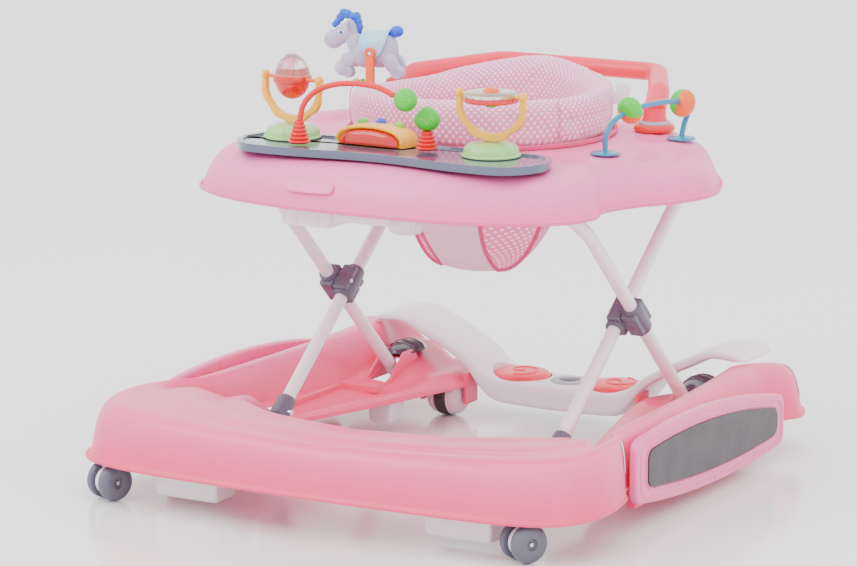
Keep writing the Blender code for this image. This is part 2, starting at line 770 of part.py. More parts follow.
def rocker_panels():
    for side, sign in SIDES.items():
        inner_x = sign * (RAIL_OUTER_X + 0.0045)
        middle = inner_x + sign * PANEL_THICK / 2
        frame = yz_frame(middle, sign)
        outline = panel_outline(0.0, 0.0, 0.0, 0.012)
        bm = plate_bmesh(outline, PANEL_THICK, frame)
        hinge = (inner_x, (PANEL_FRONT_Y + PANEL_REAR_Y) / 2, PANEL_HINGE_Z)
        add_part("rocker_panel_" + side, bm, "panel_pink", hinge)
        pad_x = inner_x + sign * (PANEL_THICK + GAP + PAD_THICK / 2)
        outline = panel_outline(0.019, 0.017, 0.024, 0.0105)
        bm = plate_bmesh(outline, PAD_THICK, yz_frame(pad_x, sign))
        add_part("rocker_pad_" + side, bm, "rubber", hinge)


def yz_frame(x, sign=1):
    """A frame whose (u, v, w) run along (Y, Z, X)."""
    return Matrix(((0, 0, 1, x), (1, 0, 0, 0), (0, 1, 0, 0), (0, 0, 0, 1)))


# ---------------------------------------------------------------- scissor frame
def frame_loops():
    """Two U-shaped tubes: legs down both sides and a crossbar under the tray."""
    for name, x, foot, top in (("outer_frame_tube", OUTER_TUBE_X, rear_pivot(), outer_top()),
                               ("inner_frame_tube", INNER_TUBE_X, front_pivot(), inner_top())):
        corners = [(x, foot.y, foot.z), (x, top.y, top.z), (-x, top.y, top.z), (-x, foot.y, foot.z)]
        bm = tube_bmesh(fillet_path(corners, TUBE_BEND_R), TUBE_R, 2)
        origin = rear_pivot() if name.startswith("outer") else cross_point()
        add_part(name, bm, "white_paint", origin, smooth_angle=60)


def clamp_frame(direction, x, centre):
    """Local axes of a clamp: u across the tube in the side plane, v along the tube, w outwards."""
    along = direction.normalized()
    outward = Vector((1, 0, 0))
    across = along.cross(outward)
    frame = Matrix((across, along, outward)).transposed().to_4x4()
    frame.translation = Vector((x, centre.y, centre.z))
    return frame


def crossing_clamps():
    """At each crossing a clamp on each tube; the two meet face to face and turn on one rivet."""
    face_x = (OUTER_TUBE_X + INNER_TUBE_X) / 2
    wall = TUBE_R + 0.0022
    for side, sign in SIDES.items():
        for loop, tube_x, direction in (("outer", OUTER_TUBE_X, outer_direction()),
                                        ("inner", INNER_TUBE_X, inner_direction())):
            away = 1 if loop == "outer" else -1
            near = sign * (face_x + away * GAP / 2)
            far = sign * (tube_x + away * wall)
            thick = abs(far - near)
            frame = clamp_frame(direction, (near + far) / 2, cross_point())
            outline = rounded_rectangle(CLAMP_DEPTH / 2, CLAMP_LENGTH / 2, 0.006)
            origin = (sign * face_x, CROSS_Y, CROSS_Z)
            name = "cross_clamp_{}_{}".format(side, loop)
            obj = add_part(name, plate_bmesh(outline, thick, frame), "grey_plastic", origin)
            bore = cylinder_bmesh((sign * tube_x, CROSS_Y, CROSS_Z), direction, TUBE_R + GAP, 0.09, 24)
            boolean(obj, add_cutter("bore_" + name, bore))


def front_shoes():
    """Sockets on the inner loop's feet that slide along the base as it folds."""
    foot = front_pivot()
    for side, sign in SIDES.items():
        x = sign * INNER_TUBE_X
        start = foot - inner_direction() * 0.0105
        middle = start + inner_direction() * SHOE_LENGTH / 2
        bm = cylinder_bmesh((x, middle.y, middle.z), inner_direction(), SHOE_R, SHOE_LENGTH, 24)
        origin = (x, foot.y, foot.z)
        obj = add_part("front_shoe_" + side, bm, "grey_plastic", origin)
        top = foot + inner_direction() * 0.03
        bore_centre = foot + inner_direction() * (0.03 - 0.0003)
        bore = cylinder_bmesh((x, bore_centre.y, bore_centre.z), inner_direction(), TUBE_R + SHOE_PLAY,
                              2 * (top - foot).length, 24)
        boolean(obj, add_cutter("shoe_bore_" + side, bore))


# ---------------------------------------------------------------- tray


def opening_point(angle, radius=SEAT_OPENING_R):
    return Vector((radius * math.sin(angle), SEAT_Y - radius * math.cos(angle), 0))


def tray_rings(steps=2):
    lip = smooth_path([(x, y, 0) for x, y in TRAY_LIP], steps)
    rings = []
    for k, out in enumerate(lip):
        into = opening_point(math.pi * k / (len(lip) - 1))
        ring = []
        for share, rise in TRAY_PROFILE:
            place = out.lerp(into, share)
            ring.append((place.x, place.y, TRAY_LIP_Z + rise * (TRAY_TOP_Z - TRAY_LIP_Z) / 0.05))
        rings.append(ring)
    for ring in (rings[0], rings[-1]):
        ring[:] = [(0.0, y, z) for _, y, z in ring]
    return rings


def tray_shell():
    obj = add_part("tray_shell", loft_open(tray_rings()), "tray_pink", inner_top(), smooth_angle=50)
    mirror = obj.modifiers.new("Mirror", "MIRROR")
    mirror.use_axis = (True, False, False)
    mirror.merge_threshold = 0.0001
    solid = obj.modifiers.new("Solidify", "SOLIDIFY")
    solid.thickness = WALL
    solid.offset = -1
    solid.use_even_offset = False
    return obj


def toy_panel_outline(count=20):
    """A wavy band along the front of the tray, in (x, y)."""
    front, rear = [], []
    for k in range(count + 1):
        share = k / count
        x = -0.192 + 0.394 * share
        ends = math.sin(math.pi * min(1.0, share * 6, (1 - share) * 6) / 2)
        wave = math.cos(2 * math.pi * (share - 0.18) * 1.55)
        middle = -0.152 + 0.004 * math.cos(math.pi * (share - 0.5))
        front.append((x, middle - (0.046 + 0.006 * wave) * ends))
        rear.append((x, middle + 0.050 * ends))
    return front + rear[::-1]


def toy_panel():
    thick = PANEL_TOP_Z - TRAY_TOP_Z - GAP
    frame = Matrix.Translation((0, 0, PANEL_TOP_Z - thick / 2))
    outline = toy_panel_outline()
    seen = []
    for point in outline:
        if point not in seen:
            seen.append(point)
    bm = plate_bmesh(seen, thick, frame)
    obj = add_part("toy_panel", bm, "slate_gloss")
    bevel = obj.modifiers.new("Bevel", "BEVEL")
    bevel.width = 0.002
    bevel.segments = 2
    bevel.limit_method = "ANGLE"
    bevel.angle_limit = math.radians(50)
    seat = cylinder_bmesh((0, SEAT_Y, PANEL_TOP_Z), (0, 0, 1), CUSHION_OUTER_R + 0.002, 0.04, 64)
    boolean(obj, add_cutter("seat_clearance", seat))
    return obj


def seat_cushion():
    """The padded ring round the seat opening, a little higher at the back."""
    thick = CUSHION_OUTER_R - CUSHION_INNER_R
    mid = (CUSHION_OUTER_R + CUSHION_INNER_R) / 2
    bottom = TRAY_TOP_Z + GAP
    profile = []
    for k in range(12):
        angle = 2 * math.pi * (k + 0.5) / 12
        radial = math.copysign(abs(math.cos(angle)) ** 0.7, math.cos(angle))
        upright = math.copysign(abs(math.sin(angle)) ** 0.6, math.sin(angle))
        profile.append((mid + thick / 2 * radial, bottom + CUSHION_HEIGHT / 2 * (1 + upright)))
    lowest = min(height for _, height in profile)
    profile = [(radius, height - lowest + bottom) for radius, height in reversed(profile)]
    bm = turned_bmesh(profile, (0, SEAT_Y, 0), segments=40)
    for vert in bm.verts:
        back = max(0.0, (vert.co.y - SEAT_Y) / CUSHION_OUTER_R)
        rise = (vert.co.z - bottom) / CUSHION_HEIGHT
        vert.co.z += CUSHION_BACK_RISE * back * rise
    add_part("seat_cushion", bm, "fabric_pink")


def seat_sling():
    """The fabric seat: a wide panel hanging front to back with a leg hole at each side."""
    top = TRAY_TOP_Z - 0.001
    front = SEAT_Y - 0.100
    rear = SEAT_Y + 0.106
    line = [(front, top, 0.052), (front + 0.004, top - 0.050, 0.050), (front + 0.022, SLING_LOW_Z + 0.040, 0.044),
            (front + 0.050, SLING_LOW_Z + 0.006, 0.040), (SEAT_Y + 0.010, SLING_LOW_Z, 0.042),
            (rear - 0.045, SLING_LOW_Z + 0.010, 0.050), (rear - 0.014, SLING_LOW_Z + 0.050, 0.062),
            (rear, top - 0.050, 0.074), (rear, top, 0.048)]
    path = smooth_path(line, 3)
    rings = []
    for k, (y, z, half) in enumerate(path):
        before = path[max(0, k - 1)]
        after = path[min(len(path) - 1, k + 1)]
        along = Vector((0, after[0] - before[0], after[1] - before[1])).normalized()
        inward = Vector((0, -along.z, along.y))
        place = Vector((0, y, z))
        ring = []
        for sx, sn in ((-1, 0), (-0.5, 0), (0, 0), (0.5, 0), (1, 0), (1, 1), (0.5, 1), (0, 1), (-0.5, 1), (-1, 1)):
            curl = 0.006 * sx * sx
            point = place + inward * (sn * SLING_THICK + curl)
            ring.append((sx * half, point.y, point.z))
        rings.append(ring)
    add_part("seat_sling", loft_solid(rings), "sling_pink", smooth_angle=60)


def latch_housing():
    """The box under the front of the tray whose notches set the tray's height, with its ribbed knob."""
    top = TRAY_LIP_Z - 0.0006
    body = box_bmesh((-0.104, -0.212, 0.3165), (0.036, -0.140, top), 0.004)
    obj = add_part("height_latch_housing", body, "white_plastic")
    knob = cylinder_bmesh((0.012, -0.131, 0.3220), (0, 0, 1), 0.0195, 0.031, 22)
    boolean(obj, add_cutter("latch_knob", knob), "UNION")
    return obj


# ---------------------------------------------------------------- handle
def handle():
    """A push bar across the rear on two raked posts."""
    foot_lift = 0.0135
    corners = []
    for sign in (1, -1):
        low = Vector((sign * HANDLE_BASE.x, HANDLE_BASE.y, TRAY_TOP_Z + foot_lift + HANDLE_R))
        knee = Vector((sign * (HANDLE_BASE.x - 0.012), HANDLE_BASE.y + 0.034, HANDLE_BAR_Z - 0.006))
        high = Vector((sign * HANDLE_CORNER.x, HANDLE_CORNER.y, HANDLE_BAR_Z))
        corners.append((low, knee, high))
    right, left = corners
    path = fillet_path([*right, *reversed(left)], 0.026, 5)
    add_part("handle_bar", tube_bmesh(path, HANDLE_R, 3), "coral", smooth_angle=60)
    for side, sign in SIDES.items():
        centre = (sign * HANDLE_BASE.x, HANDLE_BASE.y, TRAY_TOP_Z + GAP)
        profile = [(0, 0.0125), (0.017, 0.0125), (0.0195, 0.0105), (0.0195, 0.008), (0.023, 0.007),
                   (0.0245, 0.004), (0.023, 0.0), (0, 0.0)]
        obj = add_part("handle_base_" + side, turned_bmesh(profile, centre, segments=28), "red", centre)


# ---------------------------------------------------------------- toys


def toy_centre(side):
    return TOY_LEFT if side == "left" else TOY_RIGHT


def toy_bases():
    for side in SIDES:
        centre = toy_centre(side) + Vector((0, 0, GAP))
        profile = [(0, BASE_TOY_H), (0.014, BASE_TOY_H), (0.022, BASE_TOY_H - 0.002),
                   (0.026, BASE_TOY_H - 0.007), (BASE_TOY_R, 0.002), (BASE_TOY_R, 0.0), (0, 0.0)]
        add_part("toy_base_" + side, turned_bmesh(profile, centre, segments=28), "mint", centre)


def bracket_outline():
    """A U with a short stem, in (u, v), with v up from the top of the toy base."""
    half = BRACKET_HALF
    outer, inner = [], []
    arc_centre = 0.041
    for k in range(13):
        angle = math.pi + math.pi * k / 12
        inner.append((half * math.cos(angle), arc_centre + 0.031 * math.sin(angle)))
        scallop = 0.0075 + 0.0015 * math.cos(6 * (angle - math.pi))
        outer.append(((half + scallop * 0.7) * math.cos(angle), arc_centre + (0.031 + scallop) * math.sin(angle)))
    top = BRACKET_RISE
    stem = [(-0.008, 0.0), (0.008, 0.0)]
    left_outer = [point for point in outer if point[0] < -0.010]
    right_outer = [point for point in outer if point[0] > 0.010]
    return ([(-half - 0.0055, top), *left_outer, *stem, *right_outer, (half + 0.0055, top)]
            + [(half, top), *reversed(inner), (-half, top)])


def bracket_frame(side):
    centre = toy_centre(side) + Vector((0, 0, BASE_TOY_H + 2 * GAP))
    turn = Matrix.Rotation(BRACKET_TURN[side], 4, "Z")
    stand = Matrix(((1, 0, 0, 0), (0, 0, 1, 0), (0, 1, 0, 0), (0, 0, 0, 1)))
    return Matrix.Translation(centre) @ turn @ stand


def toy_brackets():
    for side in SIDES:
        bm = plate_bmesh(bracket_outline(), BRACKET_THICK, bracket_frame(side))
        add_part("toy_bracket_" + side, bm, "yellow", toy_centre(side) + Vector((0, 0, BASE_TOY_H)))


def spinning_toys():
    """The egg rattle and the scalloped disc, each turning between its bracket's arms."""
    for side, name in (("left", "egg_rattle"), ("right", "spinner_disc")):
        centre = toy_centre(side) + Vector((0, 0, SPIN_HEIGHT))
        turn = Matrix.Rotation(BRACKET_TURN[side], 3, "Z")
        axis = turn @ Vector((1, 0, 0))
        reach = BRACKET_HALF - RUN
        if name == "egg_rattle":
            body = ball_bmesh(centre, (0.0205, 0.0205, 0.0275), 16, 10)
            material = "orange"
        else:
            body = turned_bmesh([(0, 0.0045), (0.030, 0.0045), (0.0325, 0.0), (0.030, -0.0045), (0, -0.0045)],
                                centre, (0, 0, 1), 28)
            material = "red"
        obj = add_part(name, body, material, centre)
        pin = cylinder_bmesh(centre, axis, 0.0022, 2 * reach, 12)
        boolean(obj, add_cutter("pin_" + name, pin), "UNION")


def bellows_profile(base_r, top_r, height, ribs=3):
    """A cone with raised ribs."""
    profile = [(0, height), (top_r, height)]
    for k in range(ribs):
        share = 1 - (k + 0.5) / ribs
        radius = base_r + (top_r - base_r) * share
        mid = height * share
        profile += [(radius * 0.86, mid + 0.0018), (radius * 1.08, mid), (radius * 0.90, mid - 0.0018)]
    return profile + [(base_r, 0.0), (0, 0.0)]


def stalk_path():
    foot = STALK_FOOT
    rise = CONE_HEIGHT - 0.004
    return smooth_path([foot + Vector((0, 0, rise)), foot + Vector((0.005, 0.002, rise + 0.022)),
                        foot + Vector((0.020, 0.004, rise + 0.038)), foot + Vector((0.043, 0.006, rise + 0.047)),
                        foot + Vector((0.070, 0.007, rise + 0.050)), foot + Vector((0.098, 0.008, rise + 0.048)),
                        foot + Vector((0.119, 0.009, rise + 0.040))], 3)


def stalk_toys():
    cone = turned_bmesh(bellows_profile(CONE_R, 0.0052, CONE_HEIGHT), STALK_FOOT, segments=20)
    obj = add_part("stalk", cone, "red", STALK_FOOT)
    boolean(obj, add_cutter("stalk_stem", tube_bmesh(stalk_path(), STALK_R, 1)), "UNION")
    tip = stalk_path()[-1]
    ball_centre = tip + Vector((0.0145, 0.001, -0.004))
    add_part("stalk_ball", ball_bmesh(ball_centre, (0.0135, 0.0125, 0.0135), 16, 10), "green", STALK_FOOT)
    cone = turned_bmesh(bellows_profile(CONE_R, 0.0060, BERRY_CONE_HEIGHT), BERRY_FOOT, segments=20)
    add_part("berry_stem", cone, "red", BERRY_FOOT)
    berry = [(0, 0.028), (0.006, 0.0265), (0.0125, 0.019), (0.0155, 0.010), (0.0135, 0.003), (0.006, 0.0), (0, 0.0)]
    foot = BERRY_FOOT + Vector((0, 0, BERRY_CONE_HEIGHT + GAP))
    add_part("berry", turned_bmesh(berry, foot, segments=18), "green", BERRY_FOOT)


def music_arch(width, height, count=12):
    arch = []
    for k in range(count + 1):
        angle = math.pi * k / count
        arch.append((-width * math.cos(angle), height * math.sin(angle) ** 0.62))
    return arch


def music_box():
    centre = MUSIC_CENTRE + Vector((0, 0, GAP))
    frame = Matrix.Translation(centre) @ Matrix(((1, 0, 0, 0), (0, 0, 1, 0), (0, 1, 0, 0), (0, 0, 0, 1)))
    bm = plate_bmesh(music_arch(MUSIC_HALF_WIDTH, MUSIC_HEIGHT), MUSIC_DEPTH, frame)
    obj = add_part("music_box", bm, "yellow", centre)
    for name, offset in MUSIC_BUTTONS:
        well = cylinder_bmesh(music_button_foot(offset) + Vector((0, 0, 0.02)), (0, 0, 1), 0.0074, 0.04, 16)
        boolean(obj, add_cutter("well_" + name, well))
        foot = music_button_foot(offset) + Vector((0, 0, 0.0022))
        profile = [(0, 0.0100), (0.0045, 0.0085), (0.0068, 0.0050), (0.0068, 0.0), (0, 0.0)]
        add_part("music_key_" + name, turned_bmesh(profile, foot, segments=16),
                 "blue" if name == "blue" else "green", foot)


def music_button_foot(offset):
    """Floor of the well under a key, below the arch's crown at that place."""
    height = MUSIC_HEIGHT * (1 - (offset / MUSIC_HALF_WIDTH) ** 2) ** 0.31
    return MUSIC_CENTRE + Vector((offset, 0.007, height - 0.0070))


def horse():
    """A rocking horse on an upright post at the tray's left rear corner."""
    post_y = HORSE_Y - 0.013
    post = [(HORSE_X, post_y, TRAY_TOP_Z + 0.0032), (HORSE_X, post_y, HORSE_PIVOT_Z)]
    obj = add_part("horse_post", tube_bmesh(post, 0.0042, 2), "orange")
    foot = turned_bmesh([(0, 0.006), (0.007, 0.006), (0.012, 0.002), (0.012, 0.0), (0, 0.0)],
                        (HORSE_X, post_y, TRAY_TOP_Z + GAP), segments=20)
    eye = cylinder_bmesh((HORSE_X, post_y, HORSE_PIVOT_Z), (0, 1, 0), 0.0075, 0.0076, 20)
    boolean(obj, add_cutter("horse_post_foot", foot), "UNION")
    boolean(obj, add_cutter("horse_post_eye", eye), "UNION")
    pivot = Vector((HORSE_X, HORSE_Y, HORSE_PIVOT_Z))
    body = ball_bmesh(pivot + Vector((-0.004, 0, 0.002)), (0.027, 0.0085, 0.016), 16, 8)
    obj = add_part("horse", body, "horse_grey", pivot)
    pieces = (
        ("head", ball_bmesh(pivot + Vector((-0.040, 0, 0.027)), (0.017, 0.008, 0.0105), 12, 8,
                            Matrix.Rotation(math.radians(-28), 4, "Y"))),
        ("neck", ball_bmesh(pivot + Vector((-0.027, 0, 0.018)), (0.010, 0.0075, 0.018), 12, 8,
                            Matrix.Rotation(math.radians(-30), 4, "Y"))),
        ("fore_leg", ball_bmesh(pivot + Vector((-0.034, 0, -0.017)), (0.0085, 0.007, 0.018), 12, 8,
                                Matrix.Rotation(math.radians(48), 4, "Y"))),
        ("hind_leg", ball_bmesh(pivot + Vector((0.020, 0, -0.014)), (0.0085, 0.007, 0.018), 12, 8,
                                Matrix.Rotation(math.radians(-48), 4, "Y"))),
        ("mane", ball_bmesh(pivot + Vector((-0.030, 0, 0.040)), (0.012, 0.006, 0.008), 12, 8)),
        ("tail", ball_bmesh(pivot + Vector((0.022, 0, 0.014)), (0.009, 0.006, 0.014), 12, 8,
                            Matrix.Rotation(math.radians(25), 4, "Y"))),
    )
    for name, piece in pieces:
        boolean(obj, add_cutter("horse_" + name, piece), "UNION")


def bead_toy():
    """A bent wire on two round feet with two beads that turn on it."""
    path = smooth_path(BEAD_WIRE_LINE, 3)
    obj = add_part("bead_wire", tube_bmesh(path, WIRE_R, 2), "teal")
    for name, end in (("front", path[0]), ("rear", path[-1])):
        foot = turned_bmesh([(0, 0.0035), (0.0150, 0.0035), (0.0170, 0.0), (0, 0.0)],
                            (end[0], end[1], TRAY_TOP_Z + GAP), segments=24)
        boolean(obj, add_cutter("bead_foot_" + name, foot), "UNION")
    for name, share in BEAD_PLACES:
        k = round(share * (len(path) - 1))
        centre = path[k]
        axis = (path[k + 1] - path[k - 1]).normalized()
        half = 0.0105
        profile = []
        for j in range(9):
            angle = math.pi * j / 8
            profile.append((BEAD_BORE_R + 0.0105 * math.sin(angle), half * math.cos(angle)))
        add_part("bead_" + name, turned_bmesh(profile, centre, axis, 20), "green", centre)


# ---------------------------------------------------------------- build
def build():
    base_shell()
    stoppers()
    footboard()
    foot_buttons()
    casters()
    rear_rollers()
    lock_levers()
    rocker_panels()
    frame_loops()
    crossing_clamps()
    front_shoes()
    tray_shell()
    toy_panel()
    seat_cushion()
    seat_sling()
    latch_housing()
    handle()
    toy_bases()
    toy_brackets()
    spinning_toys()
    stalk_toys()
    music_box()
    horse()
    bead_toy()


clear_scene()
PARTS = new_collection("baby_walker")
CUTTERS = new_collection("cutters")
MATERIALS = make_materials()
build()
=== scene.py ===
"""The baby walker as it looks: smooth mouldings, padded seat, toys and their materials."""

import math

import bmesh
import bpy
from mathutils import Matrix, Vector


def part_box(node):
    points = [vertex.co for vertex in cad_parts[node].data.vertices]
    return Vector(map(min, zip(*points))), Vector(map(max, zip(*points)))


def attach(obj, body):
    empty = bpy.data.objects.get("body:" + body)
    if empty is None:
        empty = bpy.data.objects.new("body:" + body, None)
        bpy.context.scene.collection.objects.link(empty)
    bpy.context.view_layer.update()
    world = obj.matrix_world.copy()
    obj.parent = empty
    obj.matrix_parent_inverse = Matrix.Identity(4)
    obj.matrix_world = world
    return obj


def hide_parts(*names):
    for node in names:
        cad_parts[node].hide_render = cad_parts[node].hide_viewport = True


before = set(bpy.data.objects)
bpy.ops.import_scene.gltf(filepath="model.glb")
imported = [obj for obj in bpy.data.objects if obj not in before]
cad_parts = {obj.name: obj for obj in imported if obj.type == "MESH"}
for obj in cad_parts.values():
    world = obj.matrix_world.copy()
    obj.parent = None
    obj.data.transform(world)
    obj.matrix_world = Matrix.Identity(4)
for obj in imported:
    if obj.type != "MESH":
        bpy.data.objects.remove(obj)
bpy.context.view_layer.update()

# ---------------------------------------------------------------- sizes shared with the CAD model
BASE_LENGTH = 0.695
BASE_WIDTH = 0.660
BASE_LIP_Z = 0.046
BASE_TOP_Z = 0.108
RAIL_OUTER_X = 0.297
TROUGH_Z = 0.051
TRAY_LIP_Z = 0.346
TRAY_TOP_Z = 0.396
SEAT_Y = 0.066
SEAT_OPENING_R = 0.118
CUSHION_R = 0.157
PANEL_TOP_Z = 0.404
TUBE_R = 0.008
OUTER_ANGLE = math.radians(44)
INNER_ANGLE = math.radians(39)
CROSS = Vector((0, 0.0675, 0.194))
OUTER_TUBE_X = 0.204
INNER_TUBE_X = 0.184
LOWER_ARM = 0.2
OUTER_UPPER_ARM = 0.236
INNER_UPPER_ARM = 0.258
TUBE_BEND_R = 0.085
CASTER_X = 0.27
CASTER_Y = -0.292
CASTER_R = 0.0215
CASTER_TRAIL = 0.018
CASTER_TURN = {"left": math.radians(-22), "right": math.radians(-30)}
CASTER_WHEEL_HALF = 0.00625
CASTER_BODY_HALF = 0.00625
ROLLER_X = 0.150
ROLLER_Y = 0.251
ROLLER_R = 0.026
LEVER_Y = 0.240
LEVER_Z = 0.0785
LEVER_HALF_W = 0.0200
LEVER_HALF_L = 0.0330
FOOTBOARD_FRONT_Y = 0.243
FOOTBOARD_REAR_Y = 0.332
FOOT_BUTTON_FLOOR = 0.0445
PANEL_FRONT_Y = -0.140
PANEL_REAR_Y = 0.243
PANEL_THICK = 0.011
SIDES = {"left": -1, "right": 1}


# ---------------------------------------------------------------- materials
class Nodes:
    """A small builder for one material's node tree."""

    def __init__(self, name):
        self.material = bpy.data.materials.new(name)
        self.material.use_nodes = True
        self.tree = self.material.node_tree
        self.shader = self.tree.nodes["Principled BSDF"]
        self.place = self.add("ShaderNodeTexCoord").outputs["Object"]

    def add(self, kind, **values):
        node = self.tree.nodes.new(kind)
        for key, value in values.items():
            setattr(node, key, value)
        return node

    def link(self, source, target):
        self.tree.links.new(source, target)

    def put(self, socket, value):
        if isinstance(value, bpy.types.NodeSocket):
            self.link(value, socket)
        else:
            socket.default_value = value

    def math(self, operation, a, b=0.0, c=0.0, clamp=False):
        node = self.add("ShaderNodeMath", operation=operation, use_clamp=clamp)
        for socket, value in zip(node.inputs, (a, b, c)):
            self.put(socket, value)
        return node.outputs[0]

    def split(self, vector):
        node = self.add("ShaderNodeSeparateXYZ")
        self.link(vector, node.inputs[0])
        return node.outputs

    def noise(self, scale, detail=2.0, roughness=0.5):
        node = self.add("ShaderNodeTexNoise")
        self.link(self.place, node.inputs["Vector"])
        node.inputs["Scale"].default_value = scale
        node.inputs["Detail"].default_value = detail
        node.inputs["Roughness"].default_value = roughness
        return node.outputs["Fac"]

    def ramp(self, value, low, high, low_out=0.0, high_out=1.0):
        node = self.add("ShaderNodeMapRange")
        self.link(value, node.inputs["Value"])
        for key, number in (("From Min", low), ("From Max", high), ("To Min", low_out), ("To Max", high_out)):
            node.inputs[key].default_value = number
        return node.outputs["Result"]

    def mix(self, factor, a, b):
        node = self.add("ShaderNodeMix", data_type="RGBA")
        self.put(node.inputs[0], factor)
        self.put(node.inputs[6], a)
        self.put(node.inputs[7], b)
        return node.outputs[2]

    def bump(self, height, strength, distance=0.001, under=None):
        node = self.add("ShaderNodeBump")
        self.link(height, node.inputs["Height"])
        node.inputs["Strength"].default_value = strength
        node.inputs["Distance"].default_value = distance
        if under is not None:
            self.link(under, node.inputs["Normal"])
        return node.outputs["Normal"]


def rgba(colour, scale=1.0, depth=1.75):
    """The colour with its weaker channels lowered, so that it stays rich in strong light."""
    top = max(colour)
    return (*(min(1.0, scale * top * (channel / top) ** depth) for channel in colour), 1.0)


def plastic(name, colour, roughness=0.35, grain=0.10, coat=0.0, through=0.0, soft=0.0, painted_low_shade=None):
    """Moulded plastic: faint flow marks in the colour, a fine grain and rubbed patches, and, where given,
    painted shade that deepens the colour towards the bottom.
    """
    m = Nodes(name)
    flow = m.noise(9.0, 3.0)
    base = m.mix(m.ramp(flow, 0.35, 0.65), rgba(colour, 0.965), rgba(colour, 1.02))
    # painted shade: below the given heights the colour blends into a darker tone, deepest at the bottom
    if painted_low_shade is not None:
        base = m.mix(m.ramp(m.split(m.place)[2], painted_low_shade[1], painted_low_shade[2]), rgba(painted_low_shade[0]), base)
    m.link(base, m.shader.inputs["Base Color"])
    wear = m.noise(38.0, 4.0)
    m.link(m.ramp(wear, 0.3, 0.7, roughness * 0.86, min(1.0, roughness * 1.16)), m.shader.inputs["Roughness"])
    normal = m.bump(m.noise(900.0, 2.0), grain, 0.0004)
    normal = m.bump(m.noise(26.0, 1.0), 0.06, 0.002, normal)
    m.link(normal, m.shader.inputs["Normal"])
    m.shader.inputs["Coat Weight"].default_value = coat
    m.shader.inputs["Coat Roughness"].default_value = 0.06
    if through:
        m.shader.inputs["Transmission Weight"].default_value = through
        m.shader.inputs["IOR"].default_value = 1.42
    if soft:
        m.shader.inputs["Subsurface Weight"].default_value = soft
        m.shader.inputs["Subsurface Radius"].default_value = (1.0, 0.45, 0.4)
        m.shader.inputs["Subsurface Scale"].default_value = 0.006
    return m.material


def metal(name, colour, roughness=0.25):
    """Bright metal with fine scratches."""
    m = Nodes(name)
    m.shader.inputs["Metallic"].default_value = 1.0
    scratch = m.noise(140.0, 5.0, 0.7)
    m.link(m.mix(scratch, rgba(colour, 0.9), rgba(colour)), m.shader.inputs["Base Color"])
    m.link(m.ramp(scratch, 0.3, 0.7, roughness * 0.8, roughness * 1.3), m.shader.inputs["Roughness"])
    m.link(m.bump(scratch, 0.05, 0.0003), m.shader.inputs["Normal"])
    return m.material


def weave_normal(m, u, v, thread=0.00085, strength=0.35):
    """Over-and-under threads along u and v."""
    turns = math.tau / thread
    over = m.math("MULTIPLY", m.math("SINE", m.math("MULTIPLY", u, turns)),
                  m.math("SINE", m.math("MULTIPLY", v, turns)))
    normal = m.bump(over, strength, 0.0002)
    return m.bump(m.noise(55.0, 4.0), 0.25, 0.0012, normal)


def dot_mask(m, u, v, cell=0.0084, radius=0.215):
    """Staggered round dots."""
    row = m.math("DIVIDE", v, cell * 0.5 * 1.15)
    column = m.math("DIVIDE", u, cell)
    shift = m.math("MULTIPLY", m.math("FLOORED_MODULO", m.math("FLOOR", row), 2.0), 0.5)
    du = m.math("SUBTRACT", m.math("FRACT", m.math("ADD", column, shift)), 0.5)
    dv = m.math("MULTIPLY", m.math("SUBTRACT", m.math("FRACT", row), 0.5), 0.575)
    distance = m.math("SQRT", m.math("ADD", m.math("MULTIPLY", du, du), m.math("MULTIPLY", dv, dv)))
    return m.ramp(distance, radius - 0.04, radius + 0.04, 1.0, 0.0)


def ring_coordinates(m):
    """Arc length round the seat, and the way over it: up the outer wall, across and down inside."""
    x, y, z = m.split(m.place)
    back = m.math("SUBTRACT", y, SEAT_Y)
    angle = m.math("ARCTAN2", x, m.math("MULTIPLY", back, -1.0))
    radius = m.math("SQRT", m.math("ADD", m.math("MULTIPLY", x, x), m.math("MULTIPLY", back, back)))
    rear = m.math("ADD", m.math("MULTIPLY", m.math("DIVIDE", back, radius), 0.5), 0.5)
    top = m.math("ADD", m.math("MULTIPLY", m.math("POWER", rear, 6.0), 0.018), TRAY_TOP_Z + 0.0545)
    below = m.math("SUBTRACT", top, z)
    side = m.ramp(radius, 0.134, 0.141, 1.0, -1.0)
    across = m.math("ADD", m.math("MULTIPLY", below, side), m.math("MULTIPLY", radius, -1.0))
    return m.math("MULTIPLY", angle, CUSHION_R), across


def fabric(name, colour, dots=None, ring=False, strength=0.35):
    """Woven cloth, with dots where a dot colour is given."""
    m = Nodes(name)
    if ring:
        u, v = ring_coordinates(m)
    else:
        uv = m.add("ShaderNodeUVMap", uv_map="UVMap").outputs[0]
        u, v, _ = m.split(uv)
    tone = m.noise(22.0, 4.0)
    base = m.mix(m.ramp(tone, 0.3, 0.7), rgba(colour, 0.94), rgba(colour, 1.03))
    if dots is not None:
        base = m.mix(dot_mask(m, u, v), base, rgba(dots))
    m.link(base, m.shader.inputs["Base Color"])
    m.link(m.ramp(m.noise(60.0, 3.0), 0.3, 0.7, 0.82, 0.98), m.shader.inputs["Roughness"])
    m.link(weave_normal(m, u, v, strength=strength), m.shader.inputs["Normal"])
    m.shader.inputs["Sheen Weight"].default_value = 0.25
    m.shader.inputs["Sheen Roughness"].default_value = 0.5
    return m.material


